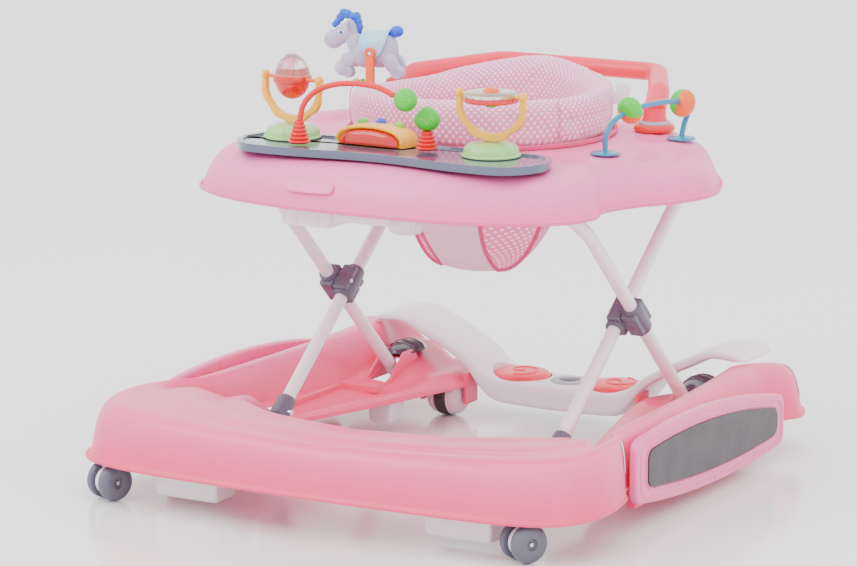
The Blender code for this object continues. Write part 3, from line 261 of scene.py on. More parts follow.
def stripes(name, light, dark):
    """A plain white sticker with bars, and nothing to read on it."""
    m = Nodes(name)
    x, y = m.split(m.place)[:2]
    along = m.math("ADD", m.math("MULTIPLY", x, 0.8), y)
    bars = m.math("SINE", m.math("MULTIPLY", along, 2600.0))
    wide = m.math("SINE", m.math("MULTIPLY", along, 1130.0))
    mask = m.math("GREATER_THAN", m.math("ADD", bars, m.math("MULTIPLY", wide, 0.8)), 0.35)
    m.link(m.mix(mask, rgba(light), rgba(dark)), m.shader.inputs["Base Color"])
    m.link(m.ramp(m.noise(50.0), 0.3, 0.7, 0.35, 0.5), m.shader.inputs["Roughness"])
    return m.material


PINK = (0.97, 0.295, 0.500)
MAT = {
    # the base and the tray go to a darker, deeper pink low on their walls: painted shade
    "base": plastic("base_pink", PINK, 0.36, 0.12, 0.08, soft=0.10,
                    painted_low_shade=((0.92, 0.180, 0.360), 0.050, 0.100)),
    "tray": plastic("tray_pink", (0.94, 0.37, 0.61), 0.40, 0.30, 0.05, soft=0.10,
                    painted_low_shade=((0.92, 0.30, 0.54), 0.345, 0.372)),
    "panel": plastic("side_panel_pink", (0.92, 0.33, 0.56), 0.30, 0.10, 0.15),
    "coral": plastic("handle_coral", (0.92, 0.085, 0.20), 0.36, 0.12, 0.1),
    "white": plastic("white_plastic", (0.87, 0.84, 0.87), 0.33, 0.10, 0.1, soft=0.1),
    "paint": plastic("white_painted_steel", (0.89, 0.87, 0.90), 0.24, 0.03, 0.4),
    "grey": plastic("grey_plastic", (0.125, 0.125, 0.15), 0.38, 0.25),
    "grey_light": plastic("button_grey", (0.42, 0.42, 0.46), 0.42, 0.2),
    "slate": plastic("slate_gloss", (0.115, 0.13, 0.175), 0.16, 0.04, 0.6),
    "lever": plastic("lever_gloss", (0.05, 0.05, 0.06), 0.14, 0.03, 0.6),
    "pad": plastic("pad_rubber", (0.055, 0.052, 0.056), 0.42, 0.5),
    "tyre": plastic("tyre_rubber", (0.06, 0.055, 0.058), 0.62, 0.5),
    # white plastic hub tinted pink: painted pink light reflected from the base
    "white_pink_bounce": plastic("roller_white_pink_bounce", (0.84, 0.72, 0.76), 0.30, 0.08, 0.2),
    "mint": plastic("mint_plastic", (0.46, 0.70, 0.36), 0.20, 0.05, 0.3, soft=0.25),
    "yellow": plastic("yellow_plastic", (0.98, 0.64, 0.015), 0.26, 0.06, 0.2, soft=0.1),
    "red": plastic("red_plastic", (0.78, 0.015, 0.035), 0.34, 0.10, 0.1),
    "red_clear": plastic("red_clear", (0.97, 0.030, 0.004), 0.10, 0.02, 0.6, through=0.45),
    "dome_clear": plastic("clear_dome", (0.94, 0.93, 0.93), 0.06, 0.02, 0.4, through=0.92),
    "orange": plastic("orange_plastic", (0.96, 0.27, 0.03), 0.32, 0.10, 0.1),
    "green": plastic("green_plastic", (0.11, 0.52, 0.06), 0.34, 0.10, 0.1),
    "lime": plastic("lime_plastic", (0.36, 0.62, 0.10), 0.34, 0.10, 0.1),
    "teal": plastic("teal_plastic", (0.01, 0.28, 0.40), 0.26, 0.06, 0.3),
    "blue": plastic("blue_plastic", (0.045, 0.19, 0.66), 0.34, 0.12, 0.1),
    "horse": plastic("horse_grey", (0.50, 0.50, 0.58), 0.32, 0.10, 0.15, soft=0.1),
    "saddle": plastic("saddle_blue", (0.52, 0.74, 0.86), 0.32, 0.10, 0.1),
    "horse_shade": plastic("horse_shade", (0.30, 0.29, 0.34), 0.4, 0.05, 0.05),
    "horse_light": plastic("horse_light", (0.70, 0.70, 0.76), 0.3, 0.05, 0.1),
    "iris": plastic("iris_blue", (0.02, 0.12, 0.5), 0.1, 0.02, 0.5),
    "steel": metal("bright_steel", (0.78, 0.78, 0.80)),
    "dotted": fabric("dotted_fabric", (0.90, 0.44, 0.66), (0.96, 0.90, 0.93), ring=True),
    "dotted_sling": fabric("dotted_lining", (0.90, 0.40, 0.60), (0.96, 0.90, 0.93)),
    "plain": fabric("plain_fabric", (0.87, 0.72, 0.80)),
    "binding": fabric("hot_pink_binding", (0.86, 0.16, 0.42), ring=True, strength=0.8),
    "thread": fabric("seam_thread", (0.84, 0.40, 0.55), ring=True, strength=0.8),
    "tag": fabric("cloth_tag", (0.88, 0.87, 0.88), ring=True),
    "sticker": stripes("sticker", (0.90, 0.88, 0.90), (0.36, 0.33, 0.36)),
    "label": plastic("blank_label", (0.88, 0.85, 0.90), 0.4, 0.02, 0.1),
}


# ---------------------------------------------------------------- shape helpers
def finish_mesh(name, bm, material, body, replaced=(), smooth_angle=40):
    """Make a bmesh into a smooth-shaded piece with its material, riding on a body."""
    bmesh.ops.recalc_face_normals(bm, faces=bm.faces)
    mesh = bpy.data.meshes.new(name)
    bm.to_mesh(mesh)
    bm.free()
    mesh.shade_smooth()
    mesh.set_sharp_from_angle(angle=math.radians(smooth_angle))
    mesh.materials.append(MAT[material])
    obj = bpy.data.objects.new(name, mesh)
    bpy.context.scene.collection.objects.link(obj)
    return settle(obj, body, replaced)


def settle(obj, body, replaced=()):
    """Put a piece on its body, and hide the CAD nodes that it stands for."""
    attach(obj, body)
    if replaced:
        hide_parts(*replaced)
    return obj


def soften(obj, width, segments=3, levels=0, angle=40):
    """Round the edges that are sharper than an angle."""
    bevel = obj.modifiers.new("Bevel", "BEVEL")
    bevel.width = width
    bevel.segments = segments
    bevel.limit_method = "ANGLE"
    bevel.angle_limit = math.radians(angle)
    bevel.harden_normals = False
    if levels:
        subdivide(obj, levels)
    return obj


def subdivide(obj, levels=1):
    """Smooth the surface by subdivision."""
    sub = obj.modifiers.new("Subdivision", "SUBSURF")
    sub.levels = levels
    sub.render_levels = levels
    return obj


def bridge(bm, first, second, closed=True):
    """Faces between two rings of vertices; a ring of one vertex is a point."""
    count = max(len(first), len(second))
    for k in range(count if closed else count - 1):
        after = (k + 1) % count
        corners = [first[k % len(first)], first[after % len(first)],
                   second[after % len(second)], second[k % len(second)]]
        unique = []
        for vert in corners:
            if vert not in unique:
                unique.append(vert)
        bm.faces.new(unique)


def turned(profile, centre, axis=(0, 0, 1), segments=48, ribs=0, depth=0.0):
    """A profile of (radius, height) pairs spun about `axis`, with optional ribs round it."""
    bm = bmesh.new()
    rings = []
    for radius, height in profile:
        if radius == 0:
            rings.append([bm.verts.new((0, 0, height))])
            continue
        ring = []
        for k in range(segments):
            angle = math.tau * k / segments
            reach = radius * (1 + depth * abs(math.sin(ribs * angle / 2)))
            ring.append(bm.verts.new((reach * math.cos(angle), reach * math.sin(angle), height)))
        rings.append(ring)
    pairs = list(zip(rings, rings[1:]))
    if len(rings[0]) > 1 and len(rings[-1]) > 1:
        pairs.append((rings[-1], rings[0]))
    for first, second in pairs:
        bridge(bm, first, second)
    turn = Vector((0, 0, 1)).rotation_difference(Vector(axis).normalized()).to_matrix().to_4x4()
    bmesh.ops.transform(bm, matrix=Matrix.Translation(Vector(centre)) @ turn, verts=bm.verts)
    return bm


def ball(centre, radii, turn=None, segments=32, rings=20):
    """A stretched sphere, turned and put in place."""
    bm = bmesh.new()
    bmesh.ops.create_uvsphere(bm, u_segments=segments, v_segments=rings, radius=1.0)
    bmesh.ops.scale(bm, verts=bm.verts, vec=Vector(radii))
    if turn is not None:
        bmesh.ops.transform(bm, matrix=turn, verts=bm.verts)
    bmesh.ops.translate(bm, verts=bm.verts, vec=Vector(centre))
    return bm


def block(low, high, bevel=0.002, segments=3):
    """A box between two corners, with rounded edges."""
    bm = bmesh.new()
    bmesh.ops.create_cube(bm, size=1.0)
    low, high = Vector(low), Vector(high)
    bmesh.ops.scale(bm, verts=bm.verts, vec=high - low)
    bmesh.ops.translate(bm, verts=bm.verts, vec=(low + high) / 2)
    bmesh.ops.bevel(bm, geom=list(bm.edges), offset=bevel, segments=segments, profile=0.7, affect="EDGES")
    return bm


def sided_block(sign, across, along, up, bevel=0.002):
    """A block on one side of the walker, from its spans outwards, along and up."""
    near, far = sorted(sign * x for x in across)
    return block((near, along[0], up[0]), (far, along[1], up[1]), bevel)


def merge(*pieces):
    """All the bmeshes as one."""
    whole = pieces[0]
    for piece in pieces[1:]:
        mesh = bpy.data.meshes.new("piece")
        piece.to_mesh(mesh)
        piece.free()
        whole.from_mesh(mesh)
        bpy.data.meshes.remove(mesh)
    return whole


def smooth_path(points, steps=6):
    """A smooth curve through the points."""
    points = [Vector(point) for point in points]
    padded = [2 * points[0] - points[1], *points, 2 * points[-1] - points[-2]]
    path = []
    for a, b, c, d in zip(padded, padded[1:], padded[2:], padded[3:]):
        for k in range(steps):
            t = k / steps
            path.append(0.5 * (2 * b + (c - a) * t + (2 * a - 5 * b + 4 * c - d) * t * t
                               + (3 * b - a - 3 * c + d) * t ** 3))
    path.append(points[-1])
    return path


def fillet_path(corners, radius, steps=14):
    """Straight runs between corners that are rounded to one radius."""
    corners = [Vector(corner) for corner in corners]
    path = [corners[0]]
    for before, corner, after in zip(corners, corners[1:], corners[2:]):
        into = (corner - before).normalized()
        out = (after - corner).normalized()
        turn = into.angle(out)
        start = corner - into * radius * math.tan(turn / 2)
        side = (out - into * out.dot(into)).normalized()
        for k in range(steps + 1):
            angle = turn * k / steps
            path.append(start + into * radius * math.sin(angle) + side * radius * (1 - math.cos(angle)))
    path.append(corners[-1])
    return path


def tube(points, radius, sides=20, squeeze=1.0, closed=False, radii=None):
    """A round bar along `points`, kept from twisting; squeeze flattens it vertically."""
    points = [Vector(point) for point in points]
    bm = bmesh.new()
    rings = []
    normal = None
    count = len(points)
    for k, place in enumerate(points):
        if closed:
            along = (points[(k + 1) % count] - points[k - 1]).normalized()
        else:
            along = (points[min(k + 1, count - 1)] - points[max(k - 1, 0)]).normalized()
        if normal is None:
            start = Vector((0, 0, 1)) if abs(along.z) < 0.9 else Vector((0, 1, 0))
            normal = (start - along * start.dot(along)).normalized()
        normal = (normal - along * normal.dot(along)).normalized()
        other = along.cross(normal)
        reach = radius if radii is None else radii[k]
        ring = []
        for j in range(sides):
            angle = math.tau * j / sides
            ring.append(bm.verts.new(place + normal * reach * squeeze * math.cos(angle) + other * reach
                                     * math.sin(angle)))
        rings.append(ring)
    for first, second in zip(rings, rings[1:]):
        bridge(bm, first, second)
    if closed:
        bridge(bm, rings[-1], rings[0])
    else:
        bm.faces.new(rings[0])
        bm.faces.new(rings[-1])
    return bm


def loft(rings, caps=True, closed=True):
    """A skin over a row of rings."""
    bm = bmesh.new()
    made = [[bm.verts.new(point) for point in ring] for ring in rings]
    for first, second in zip(made, made[1:]):
        bridge(bm, first, second, closed)
    if caps:
        bm.faces.new(made[0])
        bm.faces.new(made[-1])
    return bm


def plate(outline, thickness, place):
    """A flat outline given thickness; `place` takes (u, v, w) to the world."""
    low = [place @ Vector((u, v, -thickness / 2)) for u, v in outline]
    high = [place @ Vector((u, v, thickness / 2)) for u, v in outline]
    return loft([low, high])


def upright(centre, turn=0.0):
    """A frame whose (u, v, w) run along (X, Z, -Y), turned about Z."""
    stand = Matrix(((1, 0, 0, 0), (0, 0, -1, 0), (0, 1, 0, 0), (0, 0, 0, 1)))
    return Matrix.Translation(Vector(centre)) @ Matrix.Rotation(turn, 4, "Z") @ stand


def side_frame(x):
    """A frame whose (u, v, w) run along (Y, Z, X)."""
    return Matrix(((0, 0, 1, x), (1, 0, 0, 0), (0, 1, 0, 0), (0, 0, 0, 1)))


def modelled(obj):
    """Apply every modifier to the object's mesh."""
    bpy.context.view_layer.update()
    evaluated = obj.evaluated_get(bpy.context.evaluated_depsgraph_get())
    mesh = bpy.data.meshes.new_from_object(evaluated)
    obj.modifiers.clear()
    obj.data = mesh
    return mesh


def fuse(name, bm, voxel, passes=6):
    """One skin over overlapping shapes, smoothed."""
    mesh = bpy.data.meshes.new(name)
    bm.to_mesh(mesh)
    bm.free()
    obj = bpy.data.objects.new(name, mesh)
    bpy.context.scene.collection.objects.link(obj)
    remesh = obj.modifiers.new("Remesh", "REMESH")
    remesh.mode = "VOXEL"
    remesh.voxel_size = voxel
    relax = obj.modifiers.new("Smooth", "SMOOTH")
    relax.factor = 0.6
    relax.iterations = passes
    mesh = modelled(obj)
    bpy.data.objects.remove(obj, do_unlink=True)
    fused = bmesh.new()
    fused.from_mesh(mesh)
    return fused


def screw_head(centre, axis, radius=0.0032, proud=0.0012):
    """A domed head with a recess in the middle."""
    profile = [(0, proud * 0.5), (radius * 0.3, proud * 0.5), (radius * 0.42, proud * 0.95),
               (radius * 0.8, proud), (radius, proud * 0.4), (radius, -0.0015), (0, -0.0015)]
    return turned(profile, centre, axis, 24)


# ---------------------------------------------------------------- base moulding
def base_stations():
    """Outer lip, inner lip, crest and two well heights, from the front middle to the rear."""
    front = -BASE_LENGTH / 2
    rear = BASE_LENGTH / 2
    wide = BASE_WIDTH / 2
    rail = RAIL_OUTER_X
    top = BASE_TOP_Z
    well = TROUGH_Z
    return [
        ((0.000, front), (0.000, front + 0.140), top - 0.008, top - 0.008, top - 0.012),
        ((0.130, front + 0.003), (0.110, front + 0.155), top - 0.005, top - 0.005, top - 0.010),
        ((0.245, front + 0.011), (0.163, front + 0.192), top - 0.001, top - 0.002, top - 0.010),
        ((0.308, front + 0.038), (0.191, front + 0.228), top + 0.001, top - 0.002, top - 0.014),
        ((wide, front + 0.097), (0.200, front + 0.262), top + 0.001, top - 0.006, top - 0.022),
        ((wide - 0.010, front + 0.167), (0.200, front + 0.287), top - 0.001, 0.075, 0.066),
        ((rail + 0.003, front + 0.207), (0.190, front + 0.315), top - 0.003, well + 0.003, well),
        ((rail, front + 0.320), (0.177, front + 0.355), top - 0.004, well, well - 0.002),
        ((rail, 0.080), (0.154, 0.085), top - 0.004, well, well - 0.002),
        ((rail, 0.165), (0.134, 0.160), top - 0.003, well + 0.002, well - 0.002),
        ((rail, 0.215), (0.122, 0.205), top - 0.001, 0.066, 0.056),
        ((rail + 0.001, 0.244), (0.117, 0.240), top, 0.074, 0.056),
        ((wide - 0.014, 0.282), (0.124, 0.275), top - 0.002, 0.078, 0.054),
        ((wide - 0.026, 0.318), (0.140, 0.305), top - 0.010, 0.076, 0.054),
        ((wide - 0.056, rear - 0.006), (0.165, 0.328), top - 0.030, 0.066, 0.052),
        ((wide - 0.085, rear - 0.001), (0.190, rear - 0.008), BASE_LIP_Z + 0.004, BASE_LIP_Z + 0.003,
         BASE_LIP_Z),
    ]


BASE_PROFILE = (
    (0.000, "lip", 0.000), (0.009, "lip", 0.0008), (0.020, "lip", 0.0026), (0.032, "lip", 0.0065),
    (0.046, "wall", 0.34),
    (0.062, "wall", 0.58), (0.086, "wall", 0.79), (0.122, "wall", 0.93), (0.165, "wall", 0.985),
    (0.210, "crest", 0.000),
    (0.290, "crest", -0.001), (0.345, "blend", 0.62), (0.385, "blend", 0.18), (0.430, "well_out", 0.001),
    (0.580, "well_out", 0.000), (0.760, "well_in", 0.000), (0.880, "well_in", 0.001), (0.935, "inner", 0.72),
    (0.965, "inner", 0.30), (0.985, "lip", 0.001), (1.000, "lip", -0.004),
)


def profile_height(kind, amount, crest, well_out, well_in):
    """The height of one profile point in one section."""
    lip = BASE_LIP_Z
    return {
        "lip": lip + amount,
        "wall": lip + (crest - lip) * amount,
        "crest": crest + amount,
        "blend": well_out + (crest - well_out) * amount,
        "well_out": well_out + amount,
        "well_in": well_in + amount,
        "inner": lip + (well_in - lip) * amount,
    }[kind]


def base_rings(steps=5):
    """The profile swept through the stations."""
    stations = base_stations()
    outer = smooth_path([(*s[0], 0) for s in stations], steps)
    inner = smooth_path([(*s[1], 0) for s in stations], steps)
    heights = smooth_path([s[2:5] for s in stations], steps)
    rings = []
    for out, into, (crest, well_out, well_in) in zip(outer, inner, heights):
        out.y = min(out.y, BASE_LENGTH / 2 - 0.001)
        ring = []
        for share, kind, amount in BASE_PROFILE:
            place = out.lerp(into, share)
            ring.append((place.x, place.y, profile_height(kind, amount, crest, well_out, well_in)))
        rings.append(smooth_path(ring, 2))
    for point in rings[0]:
        point.x = 0.0
    return rings


def mirrored_shell(name, rings, material, body, node, thickness=0.0026):
    """Half a moulding, mirrored and given its wall."""
    obj = finish_mesh(name, loft(rings, caps=False, closed=False), material, body, (node,), 60)
    mirror = obj.modifiers.new("Mirror", "MIRROR")
    mirror.use_axis = (True, False, False)
    mirror.merge_threshold = 0.0001
    solid = obj.modifiers.new("Solidify", "SOLIDIFY")
    solid.thickness = thickness
    solid.offset = -1
    return obj


def cut(obj, cutter):
    """Cut a bmesh out of an object, and keep nothing of the cutter."""
    mesh = bpy.data.meshes.new("cutter")
    bmesh.ops.recalc_face_normals(cutter, faces=cutter.faces)
    cutter.to_mesh(mesh)
    cutter.free()
    tool = bpy.data.objects.new("cutter", mesh)
    bpy.context.scene.collection.objects.link(tool)
    modifier = obj.modifiers.new("Cut", "BOOLEAN")
    modifier.operation = "DIFFERENCE"
    modifier.solver = "EXACT"
    modifier.object = tool
    return tool


def carve(obj, tools, sharp):
    """Apply the cuts, shade the piece, and remove the cutters."""
    modelled(obj)
    obj.data.shade_smooth()
    obj.data.set_sharp_from_angle(angle=math.radians(sharp))
    for tool in tools:
        bpy.data.objects.remove(tool, do_unlink=True)


def base():
    """The base moulding with its cuts for tubes, shoes and stems, and what is moulded on it."""
    obj = mirrored_shell("base_moulding", base_rings(), "base", "base", "base_shell")
    front_y = CROSS.y - LOWER_ARM * math.cos(INNER_ANGLE)
    rear_y = CROSS.y + LOWER_ARM * math.cos(OUTER_ANGLE)
    tools = []
    for side, sign in SIDES.items():
        x = sign * INNER_TUBE_X
        tools.append(cut(obj, block((x - 0.0155, -0.235, 0.026), (x + 0.0155, front_y + 0.040, 0.090),
                                    0.004)))
        x = sign * OUTER_TUBE_X
        tools.append(cut(obj, block((x - 0.012, rear_y - 0.045, 0.024), (x + 0.012, rear_y + 0.016, 0.12),
                                    0.002)))
        tools.append(cut(obj, turned([(0, 0.04), (0.0076, 0.04), (0.0076, -0.04), (0, -0.04)],
                                     (sign * CASTER_X, CASTER_Y, 0.05), segments=24)))
    carve(obj, tools, 48)
    base_edge()
    for side, sign in SIDES.items():
        rail_details(side, sign, rear_y)
        front_corner_boss(side, sign)


def base_edge():
    """The rolled edge round the outside of the moulding."""
    rings = base_rings(6)
    line = [Vector(ring[0]) + Vector((0, 0, 0.0004)) for ring in rings]
    whole = [Vector((-p.x, p.y, p.z)) for p in reversed(line[1:])] + line
    inset = [Vector((p.x * 0.9975, p.y * 0.9975 if p.y < 0 else p.y - 0.001, p.z)) for p in whole]
    finish_mesh("base_rolled_edge", tube(inset, 0.0016, 10), "base", "base")


def rail_details(side, sign, rear_y):
    """The seat for the outer tube's foot, and the ledges in the well."""
    pieces = []
    for offset in (-0.0155, 0.0155):
        x = sign * OUTER_TUBE_X + offset
        outline = [(rear_y - 0.060, TROUGH_Z - 0.001), (rear_y - 0.040, TROUGH_Z + 0.006),
                   (rear_y - 0.018, 0.074), (rear_y - 0.008, 0.083), (rear_y + 0.020, 0.0835),
                   (rear_y + 0.026, 0.070), (rear_y + 0.026, TROUGH_Z - 0.001)]
        pieces.append(plate(outline, 0.0032, side_frame(x)))
    obj = finish_mesh("tube_seat_" + side, merge(*pieces), "base", "base")
    soften(obj, 0.0008, 2)
    ledge = [(-0.052, TROUGH_Z - 0.003), (-0.044, TROUGH_Z + 0.010), (-0.030, TROUGH_Z + 0.0115),
             (0.020, TROUGH_Z + 0.0075), (0.110, TROUGH_Z + 0.0065), (0.118, TROUGH_Z - 0.003)]
    x = sign * 0.2345
    obj = finish_mesh("well_ledge_" + side, plate(ledge, 0.020, side_frame(x)), "base", "base")
    soften(obj, 0.0022, 3)
    cross = sided_block(sign, (0.175, 0.228), (0.118, 0.124), (TROUGH_Z - 0.002, TROUGH_Z + 0.007), 0.0018)
    finish_mesh("well_rib_" + side, cross, "base", "base")


def front_corner_boss(side, sign):
    """The socket under each front corner that holds a caster's stem."""
    x, y = sign * CASTER_X, CASTER_Y
    profile = [(0.0078, 0.100), (0.013, 0.100), (0.0145, 0.054), (0.0135, 0.0465), (0.0078, 0.0465)]
    finish_mesh("caster_socket_" + side, turned(profile, (x, y, 0), segments=32), "base", "base")


def stoppers():
    """The four tapered feet under the base."""
    for name in ("stopper_front", "stopper_rear"):
        for side in SIDES:
            node = "{}_{}".format(name, side)
            lo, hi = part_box(node)
            lo, hi = Vector(lo), Vector(hi)
            taper = 0.0022
            rings = []
            for share in (0.0, 0.12, 1.0):
                z = lo.z + (hi.z - lo.z) * share
                inset = taper * (1 - share) + (0.0018 if share == 0 else 0)
                x0, x1 = lo.x + inset, hi.x - inset
                y0, y1 = lo.y + inset, hi.y - inset
                rings.append([(x0, y0, z), (x1, y0, z), (x1, y1, z), (x0, y1, z)])
            obj = finish_mesh(node + "_block", loft(rings), "white", "base", (node,), 30)
            soften(obj, 0.0028, 3)


# ---------------------------------------------------------------- footboard
FOOTBOARD_LINE = (
    (0.000, 0.020, 0.052), (0.060, 0.021, 0.053), (0.088, 0.025, 0.0555), (0.106, 0.040, 0.065),
    (0.122, 0.0605, 0.078), (0.148, 0.079, 0.093), (0.180, 0.094, 0.109), (0.212, 0.1095, 0.121),
    (0.240, 0.1095, 0.121), (0.258, 0.1098, 0.114),
)
LILY_Y = 0.288
LILY_X = 0.066


def footboard():
    """The white bridge over the rear, with wells for its pedals and its button."""
    right = list(FOOTBOARD_LINE)
    line = [(-x, low, high) for x, low, high in reversed(right[1:])] + right
    rings = []
    for x, low, high in smooth_path(line, 8):
        centre = (FOOTBOARD_FRONT_Y + FOOTBOARD_REAR_Y) / 2
        half = (FOOTBOARD_REAR_Y - FOOTBOARD_FRONT_Y) / 2
        thick = high - low
        end = min(1.0, max(0.0, (0.2585 - abs(x)) / 0.009)) ** 0.5
        ring = []
        for k in range(28):
            angle = math.tau * (k + 0.5) / 28
            across = math.copysign(abs(math.cos(angle)) ** 0.32, math.cos(angle))
            up = math.copysign(abs(math.sin(angle)) ** 0.55, math.sin(angle))
            ring.append((x, centre + half * across * (0.62 + 0.38 * end),
                         low + thick / 2 * (1 + up * (0.3 + 0.7 * end))))
        rings.append(ring)
    obj = finish_mesh("footboard_moulding", loft(rings), "white", "base", ("footboard",), 60)
    tools = [cut(obj, turned([(0, 0.04), (0.0372, 0.04), (0.0372, 0.0), (0, 0.0)],
                             (sx * LILY_X, LILY_Y, FOOT_BUTTON_FLOOR)))
             for sx in (-1, 1)]
    tools.append(cut(obj, turned([(0, 0.04), (0.0122, 0.04), (0.0122, 0.0), (0, 0.0)],
                                 (0, LILY_Y, FOOT_BUTTON_FLOOR))))
    carve(obj, tools, 50)
    for side, sign in SIDES.items():
        lily_pad(side, sign)
    centre = Vector((0, LILY_Y, FOOT_BUTTON_FLOOR))
    ring = [(0.0126, 0.0086), (0.0128, 0.0094), (0.0215, 0.0094), (0.0235, 0.0080), (0.0235, 0.0070),
            (0.0126, 0.0070)]
    finish_mesh("control_ring", turned(ring, centre, segments=48), "grey_light", "base")
    profile = [(0, 0.0078), (0.0065, 0.0076), (0.0092, 0.0066), (0.0108, 0.0048), (0.0108, 0), (0, 0)]
    finish_mesh("music_button_cap", turned(profile, (0, LILY_Y, 0.0478)), "grey", "music_button",
                ("music_button",))


def lily_pad(side, sign):
    """A leaf-shaped pedal with a raised spiral."""
    body = "lily_" + side
    centre = Vector((sign * LILY_X, LILY_Y, 0.0478))
    profile = [(0, 0.0112), (0.014, 0.0112), (0.025, 0.0106), (0.0318, 0.0090), (0.0348, 0.0064),
               (0.0357, 0.003),
               (0.0357, 0.0), (0, 0.0)]
    finish_mesh("lily_cap_" + side, turned(profile, centre, segments=56), "coral", body,
                ("lily_pad_" + side,))
    spiral = []
    for k in range(60):
        t = k / 59
        angle = sign * (0.4 + t * 2.35 * math.pi)
        radius = 0.0035 + 0.0225 * t
        spiral.append(centre + Vector((radius * math.cos(angle), radius * math.sin(angle),
                                       0.0114 - 0.0010 * t * t)))
    finish_mesh("lily_swirl_" + side, tube(spiral, 0.0014, 10), "coral", body)


# ---------------------------------------------------------------- wheels
def casters():
    """Twin-wheel casters: stem, hood and neck, and a wheel on each side."""
    for side, sign in SIDES.items():
        turn = Matrix.Rotation(CASTER_TURN[side], 3, "Z")
        pivot = Vector((sign * CASTER_X, CASTER_Y, CASTER_R))
        centre = pivot - turn @ Vector((0, CASTER_TRAIL, 0))
        axle = turn @ Vector((1, 0, 0))
        body = "caster_" + side
        stem = turned([(0, 0.094), (0.0068, 0.094), (0.0070, 0.0412), (0, 0.0412)], (pivot.x, pivot.y, 0),
                      segments=32)
        hood = turned([(0, 0.0056), (0.0150, 0.0056), (0.0168, 0.0040), (0.0168, -0.0040), (0.0150, -0.0056),
                       (0, -0.0056)], centre, axle, 48)
        neck = block((-0.0056, -0.024, -0.004), (0.0056, 0.0062, 0.0214), 0.0022)
        place = Matrix.Translation(pivot) @ turn.to_4x4()
        bmesh.ops.transform(neck, matrix=place, verts=neck.verts)
        finish_mesh("caster_fork_body_" + side, merge(stem, hood, neck), "white", body,
                    ("caster_fork_" + side,))
        offset = CASTER_BODY_HALF + 0.0008 + CASTER_WHEEL_HALF
        for place_name, direction in (("outer", sign), ("inner", -sign)):
            node = "caster_wheel_{}_{}".format(side, place_name)
            middle = centre + axle * direction * offset
            out = axle * direction
            half = CASTER_WHEEL_HALF
            profile = [(0.0030, half - 0.0035), (0.0052, half - 0.0035), (0.0058, half - 0.0022),
                       (0.0068, half - 0.0006),
                       (0.0105, half), (0.0150, half - 0.0004), (0.0185, half - 0.0018),
                       (0.0206, half - 0.0040),
                       (0.0215, half - 0.0062), (0.0214, -half + 0.0012), (0.0206, -half), (0.0030, -half)]
            finish_mesh(node + "_disc", turned(profile, middle, out, 64), "grey", node, (node,))
            finish_mesh(node + "_screw", screw_head(middle + out * (half - 0.0034), out, 0.0026, 0.0012),
                        "steel", node)


def rollers():
    """Barrel-shaped rear rollers with a rubber band, between brackets."""
    for side, sign in SIDES.items():
        centre = Vector((sign * ROLLER_X, ROLLER_Y, ROLLER_R))
        half = 0.025
        body = "roller_" + side
        hub = [(0, half), (0.008, half), (0.0150, half - 0.0018), (0.0202, half - 0.0052),
               (0.0233, half - 0.0098),
               (0.0250, 0.0082), (0.0225, 0.0076), (0.0225, -0.0076), (0.0250, -0.0082),
               (0.0233, -half + 0.0098),
               (0.0202, -half + 0.0052), (0.0150, -half + 0.0018), (0.008, -half), (0, -half)]
        # the hub is white plastic; its pink tint is painted reflected light
        finish_mesh("roller_hub_" + side, turned(hub, centre, (1, 0, 0), 64), "white_pink_bounce", body,
                    ("rear_hub_" + side,))
        band = [(0.0226, 0.0070), (0.0250, 0.0070), (0.0258, 0.0062), (0.0260, 0.0050), (0.0260, -0.0050),
                (0.0258, -0.0062), (0.0250, -0.0070), (0.0226, -0.0070)]
        finish_mesh("roller_band_" + side, turned(band, centre, (1, 0, 0), 64), "tyre", body,
                    ("rear_tyre_" + side,))
        fork = sided_block(sign, (0.117, 0.1215), (0.236, 0.266), (0.018, 0.058))
        finish_mesh("roller_bracket_" + side, fork, "base", "base")
        outer = sided_block(sign, (0.1785, 0.183), (0.236, 0.266), (0.018, 0.056), 0.002)
        finish_mesh("roller_bracket_outer_" + side, outer, "base", "base")


# ---------------------------------------------------------------- levers and rocker panels
def levers():
    """Domed lock levers with three ribs."""
    for side, sign in SIDES.items():
        x = sign * OUTER_TUBE_X
        dome = ball((x, LEVER_Y, LEVER_Z), (LEVER_HALF_W, LEVER_HALF_L, 0.0125), segments=48, rings=28)
        bmesh.ops.bisect_plane(dome, geom=dome.verts[:] + dome.edges[:] + dome.faces[:], dist=0.00001,
                               plane_co=(0, 0, LEVER_Z), plane_no=(0, 0, -1), clear_outer=True)
        bmesh.ops.holes_fill(dome, edges=dome.edges, sides=0)
        body = "lever_" + side
        finish_mesh("lever_cap_" + side, dome, "lever", body, ("lock_lever_" + side,))
        for index, y in enumerate((0.226, 0.238, 0.250)):
            shrink = math.sqrt(1 - ((y - LEVER_Y) / LEVER_HALF_L) ** 2)
            arch = []
            for k in range(17):
                angle = math.pi * k / 16
                arch.append((x + LEVER_HALF_W * shrink * math.cos(angle), y,
                             LEVER_Z + 0.0125 * shrink * math.sin(angle)))
            finish_mesh("lever_rib_{}_{}".format(side, index), tube(arch, 0.0011, 10), "lever", body)
        skirt = []
        for k in range(48):
            angle = math.tau * k / 48
            skirt.append((x + LEVER_HALF_W * math.cos(angle), LEVER_Y + LEVER_HALF_L * math.sin(angle),
                          LEVER_Z + 0.001))
        finish_mesh("lever_skirt_" + side, tube(skirt, 0.0010, 10, closed=True), "lever", body)


def panel_edge(y):
    """Lower and upper height of a rocker panel at one place along it."""
    share = (y - PANEL_FRONT_Y) / (PANEL_REAR_Y - PANEL_FRONT_Y)
    bow = 4 * share * (1 - share)
    return 0.030 - 0.009 * share - 0.012 * bow, 0.101 - 0.021 * share + 0.017 * bow


